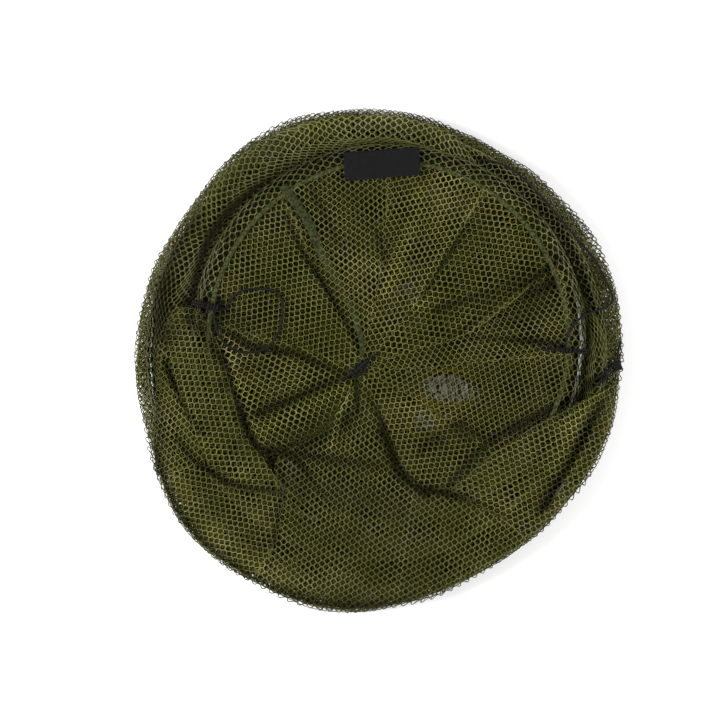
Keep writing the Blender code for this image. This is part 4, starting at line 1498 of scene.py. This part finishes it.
# %% Panels
PANEL_STEP = 2.6
LEAST_WIDTH = 12
LEAST_STEPS = 8
CROWN = 4.0
CROWN_POWER = 0.6
CROWN_ENDS = (0.04, 0.97)
WAVES = 3
WAVE_HEIGHT = 0.35
WAVE_SIZES = (0.035, 0.09)
FOLD_SHARE = 0.5
LINING_DROP = 1.4
LINING_TURN = 7.0
LINING_THREAD = 0.72
DRAWN_TOGETHER = (0.89, 0.98)


def panel(name, left, right, end, direction, sides=("roll", "roll"), covers=()):
    """A panel between two creases, knitted with its rows along direction, in degrees.

    It gives the mesh of the panel, that of the layer below it, and the area of its cloth.
    The lower layer's rows are turned a little, so its cells drift in and out of step.
    """
    count = 2 + max(len(smooth(traced(line), PANEL_STEP)) for line in (left, right))
    a_line, b_line = resampled(left, count), resampled(right, count)
    width = max(np.linalg.norm(a_line - b_line, axis=1).max(), LEAST_WIDTH)
    across = max(LEAST_STEPS, int(width / PANEL_STEP))
    a = np.linspace(0, 1, count)[:, None]
    b = np.linspace(0, 1, across)[None, :]
    inside = a_line[:, None] * (1 - b[..., None]) + b_line[:, None] * b[..., None]
    if isinstance(end, str):
        outer = arc(a_line[-1], b_line[-1], across, end)
    else:
        outer = resampled(end, across)
    inside = inside + (outer - inside[-1])[None] * a[..., None] ** 2
    x, y, z = (inside[..., k] for k in range(3))
    along = np.sin(np.pi * np.clip(a, *CROWN_ENDS))
    puff = CROWN * (4 * b * (1 - b)) ** CROWN_POWER * along
    dice = np.random.RandomState(len(name) * 7 + int(direction) % 97)
    for _ in range(WAVES):
        way = dice.uniform(*PHASES)
        size = dice.uniform(*WAVE_SIZES)
        wave = (x * np.cos(way) + y * np.sin(way)) * size
        puff = puff + WAVE_HEIGHT * np.sin(wave + dice.uniform(*PHASES))
    drawn = dice.uniform(*DRAWN_TOGETHER)
    cells = {"Cell Length": CELL_LENGTH * drawn, "Row Spacing": ROW_SPACING * drawn}
    z = z + puff
    for cover in covers:
        z = cover(x, y, z)
    pressed, lifted = relief_at(x, y)
    z = z - FOLD_SHARE * pressed + FOLD_SHARE * lifted
    block, flat = with_margins(np.stack((x, y, z), axis=-1), sides, end)
    light = openness(*relief_at(block[..., 0], block[..., 1]))
    nets = []
    for turn, drop, radius in ((0, 0, FINE_THREAD), (LINING_TURN, LINING_DROP, LINING_THREAD)):
        uv, length, breadth = rows_along(flat, np.isfinite(block[..., 0]), direction + turn)
        layer = block - (0, 0, drop)
        if drop:
            layer[..., 0], layer[..., 1] = drawn_apart(layer[..., 0], layer[..., 1])
        sheet = sheet_mesh(name, layer, uv, light)
        area = sum(face.area for face in sheet.polygons) / MM**2
        nets.append(knitted(sheet, length, breadth, radius, **cells))
    return *nets, area


# %% Panels inside the mouth
def panel_pieces(name, panels, place):
    """The faces of the panels as one piece and their linings as another."""
    faces, linings, areas = zip(*panels)
    for suffix, meshes, finish in (("face", faces, twine), ("lining", linings, shaded_twine)):
        piece = net_piece(f"{name}_{suffix}", meshes, finish)
        place(piece)
        folded("throat_net")


inner_panels = [
    panel("left", LEFT_VALLEY, BESIDE_RIBBON, "seam", 139, covers=[under_loop]),
    panel("above", BESIDE_RIBBON, UPPER_VALLEY, "seam", 92),
    panel("top", UPPER_VALLEY, DIAGONAL_VALLEY, "seam", 66),
    panel("overlap", DIAGONAL_VALLEY, OVERLAP_RIDGE, "seam", 46),
    panel("right", UNDER_RIDGE, RIGHT_SOFT, "wire", 11, ("slip", "roll"), [over_tape]),
    panel("low_right", RIGHT_SOFT, POUCH_SIDE, "wire", -24, covers=[over_tape]),
    panel("pouch", POUCH_SIDE, POUCH_FOOT, "wire", -49, ("roll", "slip"), [over_tape]),
    panel("low_left", DEEP_VALLEY, LEFT_VALLEY, "seam", 200, covers=[under_loop]),
]
panel_pieces("throat_panels", inner_panels, lambda piece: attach(piece, "mouth"))

# %% Panels that lie over the mouth hoop
def with_the_shoulder(piece):
    """Bakes a piece's place into its mesh, as stretching does."""
    stretching(piece)


over_hoops = [clear_of_hoops]
outer_panels = [
    panel("tongue", TONGUE_LEFT, TONGUE_RIGHT, "rim", -98, covers=over_hoops),
    panel("rolled", LEFT_CREASE, LEFT_FOLD, ROLL_FOOT, 50, covers=over_hoops),
    panel("strip", LEFT_RIM, LEFT_CREASE_LOW, RIM_SIDE_LEFT[::-1], -100, ("roll", "slip")),
    panel("corner", RIM_SIDE_LEFT, RIM_SIDE_RIGHT, "rim", 223, covers=over_hoops),
    panel("apron", RIGHT_FOOT, RIGHT_EDGE, "rim", -27, covers=over_hoops),
]
panel_pieces("throat_drape", outer_panels, with_the_shoulder)

# %% Hidden folds of the throat
FOLDS_WIDTH = 620.0
NECK_WIDTH = 90.0
FOLDS_THREAD = 0.72


def pleat(low, depth):
    """A height that goes up and down round the turn, as gathered cloth does."""
    return lambda t: low + ripple(t, 31, (11, 17, 23), depth)


HALF_WAY = 0.5 * (MOUTH_MIDDLE + GATHER)
NEAR_MOUTH = 0.8 * MOUTH_MIDDLE
FOLD_STATIONS = (
    (MOUTH_SEAM, 32.1, MOUTH_MIDDLE),
    (140.0, pleat(30.6, 0.4), MOUTH_MIDDLE),
    (85.0, pleat(29.6, 0.9), HALF_WAY),
    (14.0, pleat(32.0, 0.4), GATHER),
    (10.0, 31.4, GATHER),
    (14.0, pleat(30.6, 0.4), GATHER),
    (85.0, pleat(28.4, 0.6), HALF_WAY),
    (128.0, pleat(28.0, 0.3), NEAR_MOUTH),
    (131.0, 28.4, NEAR_MOUTH),
    (128.0, pleat(28.9, 0.3), NEAR_MOUTH),
    (85.0, pleat(29.0, 0.8), HALF_WAY),
    (12.0, pleat(33.2, 0.4), GATHER),
)
NECK_STATIONS = ((15.0, 33.5, GATHER), (9.0, 36.2, GATHER), (4.0, 38.2, GATHER), (1.2, 38.8, GATHER))
shades = np.ones(len(FOLD_STATIONS))
folds_mesh, folds_length = ring_net(
    FOLD_STATIONS, FOLDS_WIDTH, shades, parted=True, radius=FOLDS_THREAD
)
neck_mesh, _ = ring_net(NECK_STATIONS, NECK_WIDTH, np.ones(len(NECK_STATIONS)))
folds = net_piece("throat_folds", [folds_mesh, neck_mesh], deep_shaded_twine)
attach(folds, "mouth")
folded("throat_net")

# %% [markdown]
# ## The binding tape, the seam ribbon and the label
#
# Woven olive tape covers the mouth seam, and a ribbon of the same weave runs down the throat's
# seam. The label is a blank black woven patch, stitched over the tape and the pocket. The
# weaves have their real thread spacing, which is too fine to show from above, so spots of
# 2.4 mm are drawn over them, as uneven as worn cloth.

# %% Woven finishes
PATCH_SIZE = 2.381
PATCH_SHARE = 0.6


def woven(name, light, dark, spacing, roughness):
    """Plain weave on the piece's own UV map, with threads so many millimetres apart."""
    matt = {"Roughness": roughness, "Specular IOR Level": 0.12}
    material, tree, shader = shader_tree(name, **matt)
    place = add(tree, "ShaderNodeUVMap", uv_map="along and around")
    threads = {"Vector": place, "Scale": waves_every(spacing), "Distortion": 0.6}
    waves = {}
    for side, direction in enumerate("XY"):
        wave = add(tree, "ShaderNodeTexWave", threads, bands_direction=direction)
        waves[side] = wave.outputs["Fac"]
    weave = add(tree, MATH, waves, operation="MULTIPLY")
    spot = add(tree, "ShaderNodeTexCoord").outputs["Object"]
    patch = {"Vector": spot, "Scale": spots_of(PATCH_SIZE), "Detail": 3.0}
    patch = add(tree, NOISE, patch)
    sharper = {"Value": patch.outputs["Fac"], "From Min": 0.4, "From Max": 0.62}
    patch = add(tree, "ShaderNodeMapRange", sharper)
    mixed = add(tree, MIX, {"Factor": PATCH_SHARE, "A": weave, "B": patch})
    shades = {"Factor": mixed, 6: colour(dark), 7: colour(light)}
    tint = add(tree, MIX, shades, data_type="RGBA")
    surface(tree, shader, tint.outputs[2], weave, 0.7)
    return material


TAPE_THREADS, LABEL_THREADS = 0.6915, 0.22
tape_finish = woven("olive woven tape", "53582F", "1B1E0C", TAPE_THREADS, 0.85)
ribbon_finish = woven("olive seam ribbon", "454A25", "15170A", TAPE_THREADS, 0.85)
label_finish = woven("black woven patch", "141416", "0B0B0C", LABEL_THREADS, 0.7)

# %% Flat bands, and the tape
RIBBON_THICKNESS = 0.5
RIBBON_ARCH = 0.25
RIBBON_SHARES = (-0.5, -0.3, -0.1, 0.1, 0.3, 0.5)


def ribbon_shape(points, widths):
    """A flat band along points, widths wide, as corners, faces and UVs in millimetres."""
    points = np.array(points, float)
    widths = np.broadcast_to(np.array(widths, float), len(points))
    ways = np.gradient(points, axis=0)
    ways[:, 2] = 0
    ways /= np.linalg.norm(ways, axis=1)[:, None]
    out = np.stack((-ways[:, 1], ways[:, 0], 0 * ways[:, 0]), axis=-1)
    run = run_along(points)
    corners, places = [], []
    for level, order in ((RIBBON_THICKNESS, 1), (0.0, -1)):
        for i, point in enumerate(points):
            for share in RIBBON_SHARES[::order]:
                arch = level + RIBBON_ARCH * (1 - (2 * share) ** 2)
                corners.append(point + out[i] * widths[i] * share + (0, 0, arch))
                places.append((run[i], widths[i] * share))
    size = len(RIBBON_SHARES)
    half = len(points) * size
    faces = []
    for first in (0, half):
        for i in range(len(points) - 1):
            for k in range(size - 1):
                p = first + i * size + k
                faces.append((p, p + size, p + size + 1, p + 1))
    for top in range(0, half - size, size):
        under = half + top
        faces.append((top, under + size - 1, under + 2 * size - 1, top + size))
        faces.append((top + size - 1, top + 2 * size - 1, under + size, under))
    for top in (0, half - size):
        faces.append((*range(top, top + size), *range(half + top, half + top + size)))
    return corners, faces, places


def ribbon_piece(name, node, points, widths, finish):
    """A closed band of woven tape, its faces turned outwards, on the mouth."""
    piece = solid_piece(name, [ribbon_shape(points, widths)], finish)
    work = bmesh.new()
    work.from_mesh(piece.data)
    bmesh.ops.remove_doubles(work, verts=work.verts, dist=1e-6)
    bmesh.ops.recalc_face_normals(work, faces=work.faces)
    work.to_mesh(piece.data)
    work.free()
    held(piece, "mouth", "binding_tape", node)


TAPE_STEPS = 181
TAPE_REACH = MOUTH_SEAM - 0.7
TAPE_HEIGHT = 34.75
TAPE_WAVE, TAPE_WAVE_TURN = 0.2, 7
tape_line = []
for turn in np.linspace(0, 360, TAPE_STEPS):
    wave = TAPE_WAVE * math.sin(turn / TAPE_WAVE_TURN)
    tape_line.append(polar(TAPE_REACH, turn, TAPE_HEIGHT + wave, MOUTH_MIDDLE))
ribbon_piece("binding_tape", "mouth_tape", tape_line, TAPE_WIDTH, tape_finish)

# %% Seam ribbon
RIBBON_LINE = (
    (283, 186, 35.2), (296, 204, 35.0), (309, 224, 34.8), (321, 252, 34.6), (335, 276, 35.0),
    (348, 301, 35.4), (358, 326, 36.0), (362, 346, 37.0), (361, 356, 37.6),
)
RIBBON_PLACES = (0, 0.5, 0.8, 1)
RIBBON_WIDTHS = (8.0, 7.6, 5.5, 3.5)
ribbon_line = smooth(traced(RIBBON_LINE), LINE_STEP)
widths = np.interp(np.linspace(0, 1, len(ribbon_line)), RIBBON_PLACES, RIBBON_WIDTHS)
ribbon_piece("seam_ribbon", "throat_seam_tape", ribbon_line, widths, ribbon_finish)

# %% Label
LABEL_HEIGHT = 37.5
LABEL_CORNERS = ((343, 153), (419, 147.5), (421, 175), (345, 181.5))
LABEL_STEPS = (34, 12)
LABEL_SIZE = (68.0, 24.5)
LABEL_THICKNESS = 0.7
LABEL_EDGE = 0.2
LABEL_WAVE = 0.35
LABEL_CREST = 0.35
LABEL_SEAM, SEAM_DEPTH, SEAM_WIDTH = 0.22, 0.25, 0.03


def label_patch():
    """The blank label: a thin bent sheet, pressed in along its upper seam."""
    tl, tr, lr, ll = (np.array(seen(*mark, LABEL_HEIGHT)) for mark in LABEL_CORNERS)
    u = np.linspace(0, 1, LABEL_STEPS[0])[:, None, None]
    v = np.linspace(0, 1, LABEL_STEPS[1])[None, :, None]
    top = tl + (tr - tl) * u
    low = ll + (lr - ll) * u
    points = top + (low - top) * v
    u, v = u[..., 0], v[..., 0]
    lift = LABEL_WAVE * np.cos(2 * np.pi * u) - (v - LABEL_CREST) ** 2
    points[..., 2] += lift - SEAM_DEPTH * np.exp(-(((v - LABEL_SEAM) / SEAM_WIDTH) ** 2))
    uv = np.stack((u * LABEL_SIZE[0] + 0 * v, v * LABEL_SIZE[1] + 0 * u), axis=-1)
    rows, columns = points.shape[:2]
    index = np.arange(rows * columns).reshape(rows, columns)
    quads = np.stack((index[:-1, :-1], index[:-1, 1:], index[1:, 1:], index[1:, :-1]), axis=-1)
    shape = [part.reshape(-1, part.shape[-1]).tolist() for part in (points, quads, uv)]
    piece = solid_piece("label_patch", [shape], label_finish)
    wall = piece.modifiers.new("wall", "SOLIDIFY")
    wall.thickness = LABEL_THICKNESS * MM
    wall.offset = 0
    edge = piece.modifiers.new("edge", "BEVEL")
    edge.width = LABEL_EDGE * MM
    edge.segments = 2
    return piece


held(label_patch(), "mouth", "label_cloth", "label")

# %% [markdown]
# ## Steel
#
# The hoops are drawn steel wire, and each wire's ends meet in a crimped tube. Both are CAD
# nodes whose shape is right, so they only get a finish. The wire glints at its left and right
# ends and is dull elsewhere, so a glint is painted into its colour: bright steel only far
# aside, and painted dark steel elsewhere. The marks of drawing and crimping are too fine to
# show, so they are drawn as spots of 4 mm and 2 mm.

# %% Steel wire and ferrules
# Painted glint: the dark steel colour away from it, its lean in Y and its soft edge.
STEEL_PAINTED_DARK = "2E3024"
GREY_STEEL = "5C5E5E"
GLINT_LEAN = -0.12
GLINT_FROM, GLINT_TO = -0.004, 0.001
SMOOTHER, ROUGHER = 0.08, 0.12
DRAWN_MARKS, CRIMPED_MARKS = 4.1667, 2.381


def steel(name, tint, roughness, marks, glint_beyond=0.0, glint_at=0.0):
    """Steel painted dark, with a painted glint far aside in X, widest near a given place in Y."""
    material, tree, shader = shader_tree(name, Metallic=1.0)
    place = add(tree, "ShaderNodeTexCoord").outputs["Object"]
    spots = {"Vector": place, "Scale": spots_of(marks), "Detail": 3.0}
    grain = add(tree, NOISE, spots).outputs["Fac"]
    spread = {"Value": grain, "To Min": roughness - SMOOTHER, "To Max": roughness + ROUGHER}
    fill(tree, shader, {"Roughness": add(tree, "ShaderNodeMapRange", spread)})
    shades = {"Factor": grain, 6: colour(tint), 7: colour(GREY_STEEL)}
    bright = add(tree, MIX, shades, data_type="RGBA").outputs[2]
    # Painted glint: bright steel only far aside in X, and painted dark steel elsewhere.
    split = add(tree, SPLIT_XYZ, {0: place}).outputs
    aside = add(tree, MATH, {0: split["X"]}, operation="ABSOLUTE")
    from_y = add(tree, MATH, {0: split["Y"], 1: glint_at * MM}, operation="SUBTRACT")
    away = add(tree, MATH, {0: from_y}, operation="ABSOLUTE")
    aside = add(tree, MATH, {0: away, 1: GLINT_LEAN, 2: aside}, operation="MULTIPLY_ADD")
    edge = glint_beyond * MM
    glint_range = {"Value": aside, "From Min": edge + GLINT_FROM, "From Max": edge + GLINT_TO}
    glint_mask = add(tree, "ShaderNodeMapRange", glint_range)
    glint_tint = {"Factor": glint_mask, 6: colour(STEEL_PAINTED_DARK), 7: bright}
    glint_tint = add(tree, MIX, glint_tint, data_type="RGBA")
    surface(tree, shader, glint_tint.outputs[2], grain, 0.15, 0.2)
    return material


drawn = ("484A4A", 0.28, DRAWN_MARKS)
body_steel = steel("drawn steel wire of the body", *drawn, 197.8, -22.0)
mouth_steel = steel("drawn steel wire of the mouth", *drawn, 172.5, 12.0)
crimped_steel = steel("crimped steel tube", "909293", 0.42, CRIMPED_MARKS)
for hoop in ("base", "middle", "upper", "mouth"):
    wire = mouth_steel if hoop == "mouth" else body_steel
    for node, finish in ((hoop + "_hoop", wire), (hoop + "_hoop_ferrule", crimped_steel)):
        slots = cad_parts[node].data.materials
        slots.clear()
        slots.append(finish)

# %% [markdown]
# ## The size
#
# A helper gives a box as plain lists of numbers. The visual model has to stay near the
# CAD model's box.

# %% Sizes and end
def plain(box):
    """A box as plain lists of numbers."""
    return [[float(value) for value in point] for point in box]
